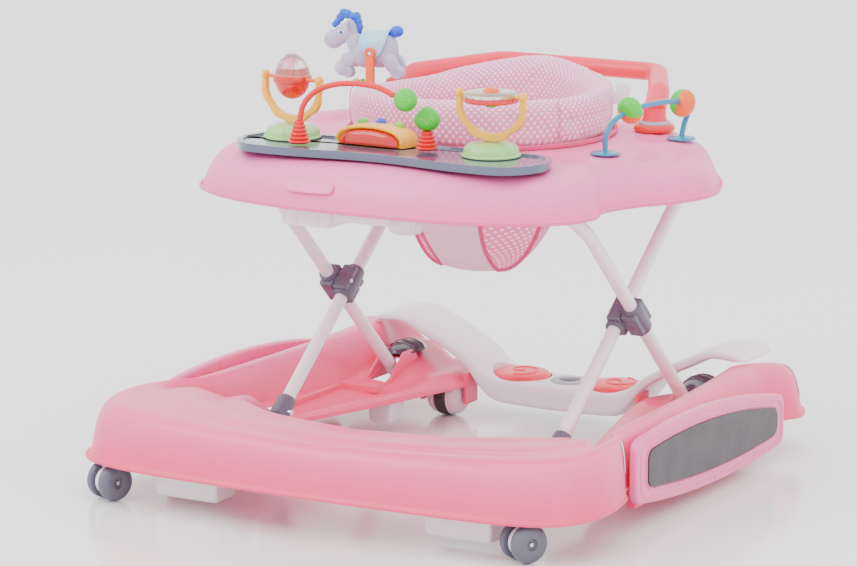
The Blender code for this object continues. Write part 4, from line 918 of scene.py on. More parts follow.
def panel_outline(inset_low, inset_high, inset_end, corner, count=40):
    """The panel's outline, moved inwards, with rounded corners."""
    front = PANEL_FRONT_Y + inset_end
    rear = PANEL_REAR_Y - inset_end
    lower, upper = [], []
    for k in range(count + 1):
        y = front + (rear - front) * (0.5 - 0.5 * math.cos(math.pi * k / count))
        low, high = panel_edge(y)
        low += inset_low
        high -= inset_high
        end = min(y - front, rear - y)
        if end < corner:
            squeeze = corner - math.sqrt(max(0.0, corner ** 2 - (corner - end) ** 2))
            low += squeeze
            high -= squeeze
        lower.append((y, low))
        upper.append((y, high))
    return lower + upper[::-1]


def rocker_panels():
    """The side panels with their pads, rims and hinge blocks."""
    for side, sign in SIDES.items():
        body = "rocker_" + side
        inner = RAIL_OUTER_X + 0.0045
        middle = sign * (inner + PANEL_THICK / 2)
        obj = finish_mesh("panel_moulding_" + side,
                          plate(panel_outline(0, 0, 0, 0.012), PANEL_THICK, side_frame(middle)),
                          "panel", body, ("rocker_panel_" + side,), 30)
        soften(obj, 0.0032, 4, angle=50)
        face = sign * (inner + PANEL_THICK)
        outline = panel_outline(0.019, 0.017, 0.024, 0.0105)
        obj = finish_mesh("grip_pad_" + side, plate(outline, 0.0026, side_frame(face + sign * 0.0013)),
                          "pad", body,
                          ("rocker_pad_" + side,), 30)
        soften(obj, 0.0010, 3, angle=50)
        rim = [Vector((face + sign * 0.0004, y, z)) for y, z in panel_outline(0.0165, 0.0145, 0.0215, 0.0125)]
        finish_mesh("pad_rim_" + side, tube(rim, 0.0012, 10, closed=True), "panel", body)
        step = [Vector((face + sign * 0.0002, y, z)) for y, z in panel_outline(0.0075, 0.0075, 0.009, 0.012)]
        finish_mesh("panel_step_" + side, tube(step, 0.0009, 8, closed=True), "panel", body)
        for y in (-0.115, 0.215):
            hinge = sided_block(sign, (inner - 0.011, inner + 0.001), (y - 0.010, y + 0.010),
                                (0.0215, 0.046), 0.0022)
            finish_mesh("panel_hinge_{}_{}".format(side, "front" if y < 0 else "rear"), hinge, "base", "base")


# ---------------------------------------------------------------- scissor frame
def frame_tubes():
    """The two bent steel loops."""
    for node, body, x, angle, sense, reach in (("outer_frame_tube", "outer_frame", OUTER_TUBE_X,
                                                OUTER_ANGLE, -1, OUTER_UPPER_ARM),
                                               ("inner_frame_tube", "inner_frame", INNER_TUBE_X,
                                                INNER_ANGLE, 1, INNER_UPPER_ARM)):
        up = Vector((0, sense * math.cos(angle), math.sin(angle)))
        foot = CROSS - up * LOWER_ARM
        top = CROSS + up * reach
        path = fillet_path([(x, foot.y, foot.z), (x, top.y, top.z), (-x, top.y, top.z),
                            (-x, foot.y, foot.z)], TUBE_BEND_R, 18)
        finish_mesh(node + "_steel", tube(path, TUBE_R, 32), "paint", body, (node,), 60)


def clamps():
    """Each crossing has a sleeve on each tube; their flat bosses meet and turn on one rivet."""
    for side, sign in SIDES.items():
        for loop, body, tube_x, angle, sense in (("outer", "outer_frame", OUTER_TUBE_X, OUTER_ANGLE, -1),
                                                 ("inner", "inner_frame", INNER_TUBE_X, INNER_ANGLE, 1)):
            along = Vector((0, sense * math.cos(angle), math.sin(angle)))
            centre = Vector((sign * tube_x, CROSS.y, CROSS.z))
            outward = Vector((sign * (1 if loop == "outer" else -1), 0, 0))
            sleeve = turned([(TUBE_R + 0.0001, 0.0225), (0.0108, 0.0225), (0.0116, 0.0205), (0.0120, 0.008),
                             (0.0120, -0.008), (0.0116, -0.0205), (0.0108, -0.0225),
                             (TUBE_R + 0.0001, -0.0225)],
                            centre, along, 40)
            half = 0.0098
            boss = turned([(0, half * 0.9), (0.0125, half * 0.9), (0.0165, half * 0.25), (0.0172, -half),
                           (0, -half)], centre - outward * 0.0002, outward, 40)
            cheek = block((-0.0098, -0.0155, -0.0185), (0.0088, 0.0155, 0.0185), 0.0045)
            turn = Vector((0, 0, 1)).rotation_difference(along).to_matrix().to_4x4()
            flip = Matrix.Scale(outward.x, 4, Vector((1, 0, 0)))
            bmesh.ops.transform(cheek, matrix=Matrix.Translation(centre) @ turn @ flip, verts=cheek.verts)
            bmesh.ops.recalc_face_normals(cheek, faces=cheek.faces)
            node = "cross_clamp_{}_{}".format(side, loop)
            finish_mesh(node + "_body", merge(sleeve, boss, cheek), "grey", body, (node,), 35)
            for spot in (-0.0135, 0.0135):
                place = centre + outward * 0.0092 + Vector((0, spot * 0.72, -spot * 0.45))
                finish_mesh("{}_screw_{}".format(node, "a" if spot < 0 else "b"),
                            screw_head(place, outward, 0.0026, 0.0010), "steel", body)
            finish_mesh(node + "_rivet", screw_head(centre + outward * 0.0094, outward, 0.0042, 0.0014),
                        "grey_light", body)


def shoes():
    """The inner loop's sliding feet and their pins."""
    up = Vector((0, math.cos(INNER_ANGLE), math.sin(INNER_ANGLE)))
    foot = CROSS - up * LOWER_ARM
    for side, sign in SIDES.items():
        start = Vector((sign * INNER_TUBE_X, foot.y, foot.z)) - up * 0.0105
        boot = turned([(0, 0.0), (0.0095, 0.0), (0.0113, 0.002), (0.0115, 0.010), (0.0112, 0.026),
                       (0.0104, 0.0295),
                       (0.0086, 0.030), (0.0086, 0.020), (0, 0.020)], start, up, 40)
        finish_mesh("shoe_body_" + side, boot, "grey", "inner_frame", ("front_shoe_" + side,))
        pin = turned([(0, 0.0155), (0.0036, 0.0155), (0.0036, -0.0155), (0, -0.0155)],
                     (sign * INNER_TUBE_X, foot.y, foot.z), (1, 0, 0), 24)
        finish_mesh("shoe_pin_" + side, pin, "steel", "inner_frame")


# ---------------------------------------------------------------- tray
TRAY_LIP = (
    (0.000, -0.243), (0.090, -0.240), (0.170, -0.221), (0.232, -0.182), (0.253, -0.132), (0.244, -0.088),
    (0.258, -0.040), (0.289, 0.010), (0.300, 0.065), (0.287, 0.118), (0.254, 0.176), (0.206, 0.236),
    (0.125, 0.290), (0.000, 0.300),
)
TRAY_PROFILE = (
    (0.000, 0.0000), (0.011, 0.0010), (0.022, 0.0042), (0.036, 0.0112), (0.056, 0.0210), (0.085, 0.0312),
    (0.125, 0.0395), (0.180, 0.0448), (0.260, 0.0474), (0.380, 0.0488), (0.500, 0.0494), (0.640, 0.0499),
    (0.800, 0.0500), (0.940, 0.0500), (1.000, 0.0480), (1.000, 0.0330),
)
RAISED_SPOTS = ((0.205, -0.015), (0.232, 0.120), (0.177, 0.161))


def tray_sink(x, y):
    """How far the tray's wings dip between the raised seats of its fittings."""
    x = abs(x)
    distance = math.hypot(x, y - SEAT_Y)
    wing = min(1.0, max(0.0, (distance - 0.166) / 0.035))
    wing *= min(1.0, max(0.0, (y + 0.075) / 0.05))
    lift = 0.0
    for sx, sy in RAISED_SPOTS:
        away = math.hypot(x - sx, y - sy)
        lift = max(lift, min(1.0, max(0.0, (0.047 - away) / 0.022)))
    wing = wing * wing * (3 - 2 * wing)
    lift = lift * lift * (3 - 2 * lift)
    return 0.0085 * wing * (1 - lift)


def tray_rings(steps=6):
    """The profile swept round the right half of the tray's lip."""
    lip = smooth_path([(x, y, 0) for x, y in TRAY_LIP], steps)
    rings = []
    for k, out in enumerate(lip):
        angle = math.pi * k / (len(lip) - 1)
        into = Vector((SEAT_OPENING_R * math.sin(angle), SEAT_Y - SEAT_OPENING_R * math.cos(angle), 0))
        ring = []
        for share, rise in TRAY_PROFILE:
            place = out.lerp(into, share)
            sink = tray_sink(place.x, place.y) * min(1.0, rise / 0.045)
            ring.append((place.x, place.y, TRAY_LIP_Z + rise - sink))
        rings.append(smooth_path(ring, 3))
    for ring in (rings[0], rings[-1]):
        for point in ring:
            point.x = 0.0
    return rings


def tray():
    """The tray moulding with its rolled edge and a blank badge."""
    rings = tray_rings()
    mirrored_shell("tray_moulding", rings, "tray", "tray", "tray_shell")
    line = [Vector(ring[0]) for ring in rings]
    whole = [Vector((-p.x, p.y, p.z)) for p in reversed(line[1:-1])] + line
    centre = Vector((0, 0.03, 0))
    whole = [centre + (p - centre) * 0.9955 + Vector((0, 0, 0.0012)) for p in whole]
    for point in whole:
        point.z = TRAY_LIP_Z + 0.0014
    finish_mesh("tray_rolled_edge", tube(whole, 0.0017, 10, closed=True), "tray", "tray")
    badge = []
    for k in range(40):
        angle = math.tau * k / 40
        badge.append((0.031 * math.copysign(abs(math.cos(angle)) ** 0.5, math.cos(angle)),
                      0.0080 * math.copysign(abs(math.sin(angle)) ** 0.6, math.sin(angle))))
    lean = Matrix.Rotation(math.radians(-36), 4, "X")
    obj = finish_mesh("blank_badge", plate(badge, 0.0022, Matrix.Translation((-0.053, -0.2335, 0.3700)) @ lean
                                           @ upright((0, 0, 0))), "tray", "tray")
    soften(obj, 0.0009, 3)


def toy_panel():
    """The dark wavy panel, with a raised rim round a slightly sunk field."""
    outline = []
    for u, v in toy_panel_outline():
        outline.append(Vector((u, v, TRAY_TOP_Z + 0.0004)))
    bm = bmesh.new()
    bm.faces.new([bm.verts.new(point) for point in outline])
    extruded = bmesh.ops.extrude_face_region(bm, geom=bm.faces[:])
    top = [item for item in extruded["geom"] if isinstance(item, bmesh.types.BMVert)]
    bmesh.ops.translate(bm, verts=top, vec=(0, 0, 0.0094))
    bm.faces.ensure_lookup_table()
    cap = [face for face in bm.faces if all(vert in top for vert in face.verts)]
    bmesh.ops.inset_region(bm, faces=cap, thickness=0.0064, depth=0.0)
    bmesh.ops.inset_region(bm, faces=cap, thickness=0.0012, depth=-0.0022)
    obj = finish_mesh("toy_panel_moulding", bm, "slate", "tray", ("toy_panel",), 60)
    soften(obj, 0.0024, 4, angle=40)


def toy_panel_outline(count=56):
    """A wavy outline that keeps clear of the seat."""
    front, rear = [], []
    for k in range(count + 1):
        share = k / count
        x = -0.192 + 0.394 * share
        ends = math.sqrt(math.sin(math.pi * min(0.5, share * 5, (1 - share) * 5)))
        wave = math.cos(2 * math.pi * (share - 0.18) * 1.55)
        front.append((x, -0.152 - (0.046 + 0.006 * wave) * ends))
        back = -0.152 + 0.050 * ends
        reach = CUSHION_R + 0.0035
        if abs(x) < reach:
            back = min(back, SEAT_Y - math.sqrt(reach ** 2 - x ** 2))
        rear.append((x, back))
    outline = []
    for point in front + rear[::-1]:
        if not outline or math.dist(point, outline[-1]) > 0.0005:
            outline.append(point)
    return outline


def latch_housing():
    """The height latch under the front of the tray."""
    body = block((-0.104, -0.212, 0.3190), (-0.040, -0.140, 0.3452), 0.007, 4)
    finish_mesh("latch_housing_box", body, "white", "tray", ("height_latch_housing",))
    step = block((-0.042, -0.206, 0.3270), (0.036, -0.146, 0.3452), 0.006, 4)
    finish_mesh("latch_step", step, "white", "tray")
    for k in range(2):
        x = -0.086 + 0.028 * k
        finish_mesh("latch_rib_{}".format(k),
                    block((x, -0.2135, 0.3215), (x + 0.0035, -0.138, 0.3445), 0.0012), "white", "tray")
    knob = turned([(0, 0.0), (0.014, 0.0), (0.0175, 0.002), (0.019, 0.006), (0.0175, 0.026), (0, 0.026)],
                  (0.012, -0.131, 0.3068), segments=72, ribs=18, depth=0.06)
    finish_mesh("latch_knob_ribbed", knob, "white", "tray")


# ---------------------------------------------------------------- seat
def cushion_height(angle):
    """Top of the ring at an angle round the seat: 0 at the front, pi at the back."""
    angle = (angle + math.pi) % math.tau - math.pi
    back = math.exp(-((math.pi - abs(angle)) / 0.64) ** 2)
    left = math.exp(-((angle + 1.9) / 0.75) ** 2)
    return 0.0560 + 0.0175 * back - 0.0120 * left


def cushion_shape(grow=0.0):
    bm = bmesh.new()
    rings = []
    bottom = TRAY_TOP_Z + 0.0012
    for k in range(72):
        angle = math.tau * k / 72
        height = cushion_height(angle)
        back = 0.5 - 0.5 * math.cos(angle)
        outer = CUSHION_R - 0.0035 + grow - 0.004 * back
        inner = 0.119 + 0.004 * back
        mid, half = (outer + inner) / 2, (outer - inner) / 2
        ring = []
        for j in range(28):
            turn = math.tau * j / 28
            u = math.copysign(abs(math.cos(turn)) ** 0.62, math.cos(turn))
            v = math.copysign(abs(math.sin(turn)) ** 0.52, math.sin(turn))
            lean = 0.006 * back * (v + 1) / 2
            radius = mid + half * u + lean
            z = bottom + (height - 0.002) * (v + 1) / 2
            ring.append(bm.verts.new((radius * math.sin(angle), SEAT_Y - radius * math.cos(angle), z)))
        rings.append(ring)
    for first, second in zip(rings, rings[1:] + rings[:1]):
        bridge(bm, first, second)
    bmesh.ops.recalc_face_normals(bm, faces=bm.faces)
    return bm


def cushion():
    mesh = bpy.data.meshes.new("cushion")
    bm = cushion_shape()
    bm.to_mesh(mesh)
    bm.free()
    obj = bpy.data.objects.new("seat_ring_cushion", mesh)
    bpy.context.scene.collection.objects.link(obj)
    remesh = obj.modifiers.new("Remesh", "REMESH")
    remesh.mode = "VOXEL"
    remesh.voxel_size = 0.005
    modelled(obj)
    puff(obj, 0.005)
    shape_cushion(obj)
    obj.data.materials.clear()
    obj.data.materials.append(MAT["dotted"])
    subdivide(obj, 1)
    obj.data.shade_smooth()
    settle(obj, "tray", ("seat_cushion",))
    cushion_seams()


def puff(obj, limit):
    """Blow the cover up like a stuffed cushion, then keep the result."""
    rest = [vert.co.copy() for vert in obj.data.vertices]
    cloth = obj.modifiers.new("Cloth", "CLOTH")
    settings = cloth.settings
    settings.quality = 6
    settings.mass = 0.25
    settings.tension_stiffness = 12
    settings.compression_stiffness = 12
    settings.shear_stiffness = 6
    settings.bending_stiffness = 0.4
    settings.use_pressure = True
    settings.uniform_pressure_force = 4.0
    settings.effector_weights.gravity = 0.0
    cloth.point_cache.frame_start = 1
    cloth.point_cache.frame_end = 20
    scene = bpy.context.scene
    for step in range(1, 21):
        scene.frame_set(step)
    evaluated = obj.evaluated_get(bpy.context.evaluated_depsgraph_get())
    moved = [vert.co.copy() for vert in evaluated.data.vertices]
    obj.modifiers.remove(cloth)
    scene.frame_set(1)
    for vert, old, new in zip(obj.data.vertices, rest, moved):
        change = new - old
        if change.length > limit:
            change = change.normalized() * limit
        vert.co = old + change


def shape_cushion(obj):
    """Seat the cushion on the tray, press in the seams and add soft folds."""
    floor = TRAY_TOP_Z + 0.0006
    for vert in obj.data.vertices:
        x, y, z = vert.co
        back = y - SEAT_Y
        angle = math.atan2(x, -back)
        radius = math.hypot(x, back)
        out = Vector((x, back, 0)).normalized()
        push = 0.0
        outer_side = min(1.0, max(0.0, (radius - 0.139) / 0.012))
        for seam in (math.radians(64), math.radians(-64)):
            away = abs(angle - seam) * CUSHION_R
            push -= 0.0022 * math.exp(-(away / 0.0028) ** 2) * outer_side
        if abs(angle) > math.radians(64):
            away = abs(z - (TRAY_TOP_Z + 0.031))
            fade = min(1.0, (abs(angle) - math.radians(64)) / 0.1)
            push -= 0.0020 * math.exp(-(away / 0.0026) ** 2) * outer_side * fade
        push += 0.0011 * math.sin(angle * 9 + z * 90) * math.sin(angle * 4 + 1.3)
        push += 0.0007 * math.sin(angle * 23 + z * 210 + 0.7) * math.cos(angle * 5)
        tuck = max(0.0, 1 - (z - floor) / 0.008)
        push -= 0.0022 * tuck * outer_side
        vert.co += out * push * (1 if radius > 0.138 else -0.6)
        top = min(1.0, max(0.0, (z - floor) / 0.05))
        vert.co.z += 0.0012 * top * math.sin(angle * 6 + 0.5) * math.sin(angle * 3)
        reach = math.hypot(vert.co.x, vert.co.y - SEAT_Y)
        if reach > CUSHION_R + 0.001:
            scale = (CUSHION_R + 0.001) / reach
            vert.co.x *= scale
            vert.co.y = SEAT_Y + (vert.co.y - SEAT_Y) * scale
        vert.co.z = max(vert.co.z, floor)


def cushion_seams():
    """The piping at the foot, the stitched seams and the sewn-in tag."""
    loop = []
    for k in range(160):
        angle = math.tau * k / 160
        radius = CUSHION_R - 0.0010
        loop.append((radius * math.sin(angle), SEAT_Y - radius * math.cos(angle), TRAY_TOP_Z + 0.0034))
    finish_mesh("seat_piping", tube(loop, 0.0026, 12, closed=True), "binding", "tray")
    for name, side in (("right", 1), ("left", -1)):
        angle = side * math.radians(64)
        line = []
        for k in range(24):
            t = k / 23
            radius = CUSHION_R - 0.0035 - 0.0035 * max(0, (t - 0.82)
                                                       / 0.18) ** 2 + 0.0016 * math.sin(math.pi * t)
            line.append((radius * math.sin(angle), SEAT_Y - radius * math.cos(angle),
                         TRAY_TOP_Z + 0.006 + 0.046 * t))
        finish_mesh("seat_seam_" + name, tube(line, 0.0007, 8), "thread", "tray")
    angle = math.radians(118)
    centre = Vector((0.1585 * math.sin(angle), SEAT_Y - 0.1585 * math.cos(angle), TRAY_TOP_Z + 0.047))
    tag = block((-0.004, -0.0007, -0.016), (0.0125, 0.0007, 0.010), 0.0004, 2)
    place = Matrix.Translation(centre) @ Matrix.Rotation(angle - math.radians(90), 4, "Z")
    place = place @ Matrix.Rotation(math.radians(14), 4, "Y")
    bmesh.ops.transform(tag, matrix=place, verts=tag.verts)
    finish_mesh("blank_seat_tag", tag, "tag", "tray")


def sling_grid(columns, rows, place):
    """A grid of points with flat-pattern UVs."""
    bm = bmesh.new()
    layer = bm.loops.layers.uv.new("UVMap")
    points = [[Vector(place(i / columns, j / rows)) for i in range(columns + 1)] for j in range(rows + 1)]
    verts = [[bm.verts.new(point) for point in row] for row in points]
    middle = columns // 2
    heights = [0.0]
    for above, below in zip(points, points[1:]):
        heights.append(heights[-1] + (above[middle] - below[middle]).length)
    for j in range(rows):
        for i in range(columns):
            face = bm.faces.new((verts[j][i], verts[j][i + 1], verts[j + 1][i + 1], verts[j + 1][i]))
            for loop, (a, b) in zip(face.loops, ((i, j), (i + 1, j), (i + 1, j + 1), (i, j + 1))):
                width = (points[b][-1] - points[b][0]).length
                loop[layer].uv = ((a / columns - 0.5) * width, heights[b])
    return bm


CROTCH_Z = 0.2345


def sling_front(u, v):
    """The front panel, from the tray down to the crotch; u runs across, v downwards."""
    side = 2 * u - 1
    half = 0.060 * (1 - v) + 0.038 * v - 0.010 * math.sin(math.pi * v)
    x = side * half
    ease = v * v * (3 - 2 * v)
    y = (SEAT_Y - 0.104) + 0.074 * ease ** 1.3 + 0.010 * side * side * (1 - v)
    z = (TRAY_TOP_Z - 0.006) + (CROTCH_Z - TRAY_TOP_Z + 0.006) * math.sin(v * math.pi / 2) ** 0.92
    return x, y, z + 0.0035 * side * side * v


def sling_back(u, v):
    """The back of the seat: wraps round behind and gathers to the crotch."""
    side = 2 * u - 1
    angle = math.pi - side * math.radians(98)
    radius = 0.112
    top = Vector((radius * math.sin(angle), SEAT_Y - radius * math.cos(angle), TRAY_TOP_Z - 0.006))
    low = Vector((side * 0.038, 0.038 + 0.004 * (1 - side * side), CROTCH_Z + 0.0035 * side * side))
    inward = v ** 2.0 * 0.55 + v * 0.45 * abs(side) + v ** 1.4 * 0.45 * (1 - abs(side))
    fall = math.sin(v * math.pi / 2) ** (0.80 + 0.25 * abs(side))
    x = top.x + (low.x - top.x) * min(1.0, inward)
    y = top.y + (low.y - top.y) * min(1.0, inward)
    z = top.z + (low.z - top.z) * fall
    return x, y, z


def sling():
    for name, place, material, columns, flat, area in (
            ("sling_front_panel", sling_front, "plain", 20, (0.12, 0.185), 0.0178),
            ("sling_back_panel", sling_back, "dotted_sling", 40, (0.38, 0.20), 0.057)):
        bm = sling_grid(columns, 26, place)
        obj = finish_mesh(name, bm, material, "tray", ("seat_sling",), 180)
        solid = obj.modifiers.new("Solidify", "SOLIDIFY")
        solid.thickness = 0.0016
        solid.offset = 0
        subdivide(obj, 1)
    for side, sign in SIDES.items():
        u = 1.0 if sign > 0 else 0.0
        edge = [Vector(sling_front(u, k / 24)) for k in range(25)]
        back = [Vector(sling_back(u, k / 24)) for k in range(25)]
        line = edge + back[::-1][1:]
        obj = finish_mesh("leg_binding_" + side, tube(line, 0.0030, 12, squeeze=0.7), "binding", "tray")


# ---------------------------------------------------------------- handle
def handle():
    corners = []
    for sign in (1, -1):
        low = Vector((sign * 0.177, 0.161, TRAY_TOP_Z + 0.024))
        knee = Vector((sign * 0.165, 0.195, 0.435))
        high = Vector((sign * 0.106, 0.311, 0.441))
        corners.append((low, knee, high))
    right, left = corners
    path = fillet_path([*right, *reversed(left)], 0.026, 14)
    radii = []
    for point in path:
        post = min(1.0, max(0.0, (abs(point.x) - 0.10) / 0.05))
        radii.append(0.0110 + 0.0022 * post)
    finish_mesh("handle_moulding", tube(path, 0.0105, 36, radii=radii), "coral", "tray", ("handle_bar",), 60)
    for side, sign in SIDES.items():
        centre = Vector((sign * 0.177, 0.161, TRAY_TOP_Z + 0.0003))
        ring = [(0, 0.0086), (0.0195, 0.0086), (0.0220, 0.0078), (0.0240, 0.0052), (0.0243, 0.0028),
                (0.0228, 0.0004),
                (0.0, 0.0004)]
        finish_mesh("handle_ring_" + side, turned(ring, centre, segments=64), "red", "tray",
                    ("handle_base_" + side,))
        collar = [(0, 0.0125), (0.0158, 0.0125), (0.0182, 0.0112), (0.0188, 0.0096), (0.0188, 0.0084),
                  (0, 0.0084)]
        finish_mesh("handle_collar_" + side, turned(collar, centre, segments=64), "grey_light", "tray")
        foot = turned([(0, 0.0265), (0.0133, 0.0265), (0.0137, 0.0165), (0.0152, 0.0128), (0, 0.0122)],
                      centre, segments=40)
        finish_mesh("handle_foot_" + side, foot, "coral", "tray")
        hole = Vector((sign * 0.098, 0.3005, 0.4415))
        finish_mesh("handle_screw_" + side, screw_head(hole, (0, -1, 0.1), 0.0028, 0.0010), "steel", "tray")
        joint = Vector((sign * 0.0905, 0.311, 0.441))
        finish_mesh("handle_joint_" + side, turned([(0.0100, 0.0005), (0.01066, 0.0005), (0.01066, -0.0005),
                                                    (0.0100, -0.0005)], joint, (1, 0, 0), 48), "coral",
                                                    "tray")


# ---------------------------------------------------------------- toys
TOY_PLACES = {"left": Vector((-0.140, -0.128, PANEL_TOP_Z)), "right": Vector((0.120, -0.128, PANEL_TOP_Z))}
TOY_TURN = {"left": math.radians(-9), "right": 0.0}


def toy_bases():
    """The ribbed domes that carry the spinning toys."""
    for side, centre in TOY_PLACES.items():
        body = "toy_turn_" + side
        dome = [(0, 0.0158), (0.012, 0.0158), (0.0205, 0.0152), (0.0260, 0.0132), (0.0292, 0.0098),
                (0.0303, 0.0060),
                (0.0305, 0.0012), (0, 0.0012)]
        finish_mesh("toy_dome_" + side, turned(dome, centre, segments=120, ribs=15, depth=0.035), "mint",
                    body,
                    ("toy_base_" + side,))
        foot = [(0, 0.0034), (0.0322, 0.0034), (0.0334, 0.0020), (0.0334, 0.0006), (0, 0.0006)]
        finish_mesh("toy_dome_foot_" + side, turned(foot, centre, segments=80), "mint", body)


def bracket_outline():
    """A yellow U with leaf-like scallops on its outer edge."""
    half, arc_centre = 0.037, 0.041
    outer, inner = [], []
    for k in range(49):
        angle = math.pi + math.pi * k / 48
        inner.append((half * math.cos(angle), arc_centre + 0.031 * math.sin(angle)))
        petal = abs(math.sin(4 * (angle - math.pi) + 0.5))
        rim = 0.0065 + 0.0034 * petal
        outer.append(((half + rim * 0.85) * math.cos(angle), arc_centre + (0.031 + rim) * math.sin(angle)))
    stem = [(-0.0085, 0.0006), (0.0085, 0.0006)]
    left_outer = [point for point in outer if point[0] < -0.0095]
    right_outer = [point for point in outer if point[0] > 0.0095]
    return ([(-half - 0.0062, 0.0560), (-half - 0.0062, 0.0500), *left_outer, *stem, *right_outer,
             (half + 0.0062, 0.0500), (half + 0.0062, 0.0560), (half + 0.0046, 0.0580),
             (half + 0.0008, 0.0580)]
            + [(half - 0.0002, 0.0560), *reversed(inner), (-half + 0.0002, 0.0560)]
            + [(-half - 0.0008, 0.0580), (-half - 0.0046, 0.0580)])


def brackets():
    """The yellow arms that hold the spinning toys."""
    for side, centre in TOY_PLACES.items():
        place = upright(centre + Vector((0, 0, 0.0158)), TOY_TURN[side])
        obj = finish_mesh("toy_arm_" + side, plate(bracket_outline(), 0.0068, place), "yellow",
                          "toy_turn_" + side,
                          ("toy_bracket_" + side,), 30)
        soften(obj, 0.0013, 3, angle=50)
        turn = Matrix.Rotation(TOY_TURN[side], 3, "Z")
        for sign in (-1, 1):
            boss = centre + turn @ Vector((sign * 0.0402, 0, 0)) + Vector((0, 0, 0.068))
            finish_mesh("toy_pivot_{}_{}".format(side, "a" if sign < 0 else "b"),
                        turned([(0, 0.0034), (0.0042, 0.0034), (0.0050, 0.002), (0.0050, -0.002),
                                (0, -0.002)],
                               boss, turn @ Vector((sign, 0, 0)), 32), "yellow", "toy_turn_" + side)


def half_egg(centre, radii, upper, material, name, body, replaced=()):
    bm = ball(centre, radii, segments=48, rings=32)
    cut_z = centre.z
    bmesh.ops.bisect_plane(bm, geom=bm.verts[:] + bm.edges[:] + bm.faces[:], dist=0.00001,
                           plane_co=(0, 0, cut_z),
                           plane_no=(0, 0, -1 if upper else 1), clear_outer=True)
    bmesh.ops.holes_fill(bm, edges=bm.edges, sides=0)
    return finish_mesh(name, bm, material, body, replaced)


def egg():
    centre = TOY_PLACES["left"] + Vector((0, 0, 0.068))
    turn = Matrix.Rotation(TOY_TURN["left"], 3, "Z")
    axis = turn @ Vector((1, 0, 0))
    half_egg(centre, (0.0205, 0.0205, 0.0240), False, "red_clear", "egg_lower", "egg", ("egg_rattle",))
    half_egg(centre + Vector((0, 0, 0.0002)), (0.0205, 0.0205, 0.0275), True, "dome_clear", "egg_dome", "egg")
    belt = [(0.0200, 0.0042), (0.0216, 0.0042), (0.0222, 0.0030), (0.0222, -0.0030), (0.0216, -0.0042),
            (0.0200, -0.0042)]
    finish_mesh("egg_belt", turned(belt, centre, segments=64), "red_clear", "egg")
    pin = turned([(0, 0.0362), (0.0022, 0.0362), (0.0024, 0.0215), (0.0024, -0.0215), (0.0022, -0.0362),
                  (0, -0.0362)],
                 centre, axis, 24)
    finish_mesh("egg_pin", pin, "orange", "egg")
    for k, (dx, dz) in enumerate(((-0.006, -0.010), (0.005, -0.012), (0.0, -0.007), (0.008, -0.006))):
        finish_mesh("egg_bead_{}".format(k),
                    ball(centre + Vector((dx, -0.004 + 0.003 * k, dz)), (0.0034,) * 3,
                                                  segments=20, rings=12), "orange" if k % 2 else "yellow",
                                                  "egg")
    for k in range(6):
        angle = math.tau * k / 6
        rib = []
        for j in range(14):
            rise = math.pi / 2 * j / 14
            rib.append(centre + Vector((0.0206 * math.cos(rise) * math.cos(angle),
                                        0.0206 * math.cos(rise) * math.sin(angle),
                                        0.0004 + 0.0276 * math.sin(rise))))
        finish_mesh("egg_dome_rib_{}".format(k), tube(rib, 0.0005, 8), "dome_clear", "egg")


def disc():
    centre = TOY_PLACES["right"] + Vector((0, 0, 0.068))
    lower = [(0, -0.0012), (0.0290, -0.0012), (0.0300, -0.0024), (0.0300, -0.0058), (0.0282, -0.0074),
             (0, -0.0074)]
    finish_mesh("disc_red", turned(lower, centre, segments=144, ribs=18, depth=0.045), "red_clear", "disc",
                ("spinner_disc",))
    upper = [(0, 0.0042), (0.0260, 0.0042), (0.0288, 0.0028), (0.0300, 0.0006), (0.0300, -0.0010),
             (0, -0.0010)]
    finish_mesh("disc_clear", turned(upper, centre, segments=144, ribs=18, depth=0.035), "dome_clear", "disc")
    top = [(0, 0.0095), (0.0045, 0.0090), (0.0082, 0.0070), (0.0098, 0.0043), (0, 0.0043)]
    finish_mesh("disc_cap", turned(top, centre, segments=48), "orange", "disc")
    under = [(0, -0.0075), (0.0090, -0.0075), (0.0080, -0.0110), (0.0050, -0.0132), (0, -0.0138)]
    finish_mesh("disc_under_cap", turned(under, centre, segments=48), "green", "disc")
    pin = turned([(0, 0.0362), (0.0022, 0.0362), (0.0022, -0.0362), (0, -0.0362)], centre, (1, 0, 0), 24)
    finish_mesh("disc_pin", pin, "yellow", "disc")


def bellows(base_r, top_r, height, foot, ribs=6):
    profile = [(0, height), (top_r, height)]
    for k in range(ribs):
        share = 1 - (k + 0.5) / ribs
        radius = base_r + (top_r - base_r) * share
        mid = height * share
        step = height / ribs
        profile += [(radius * 0.80, mid + step * 0.42), (radius * 1.02, mid + step * 0.14),
                    (radius * 1.05, mid),
                    (radius * 1.02, mid - step * 0.14)]
    return turned(profile + [(base_r * 0.82, 0.0), (0, 0.0)], foot, segments=48)


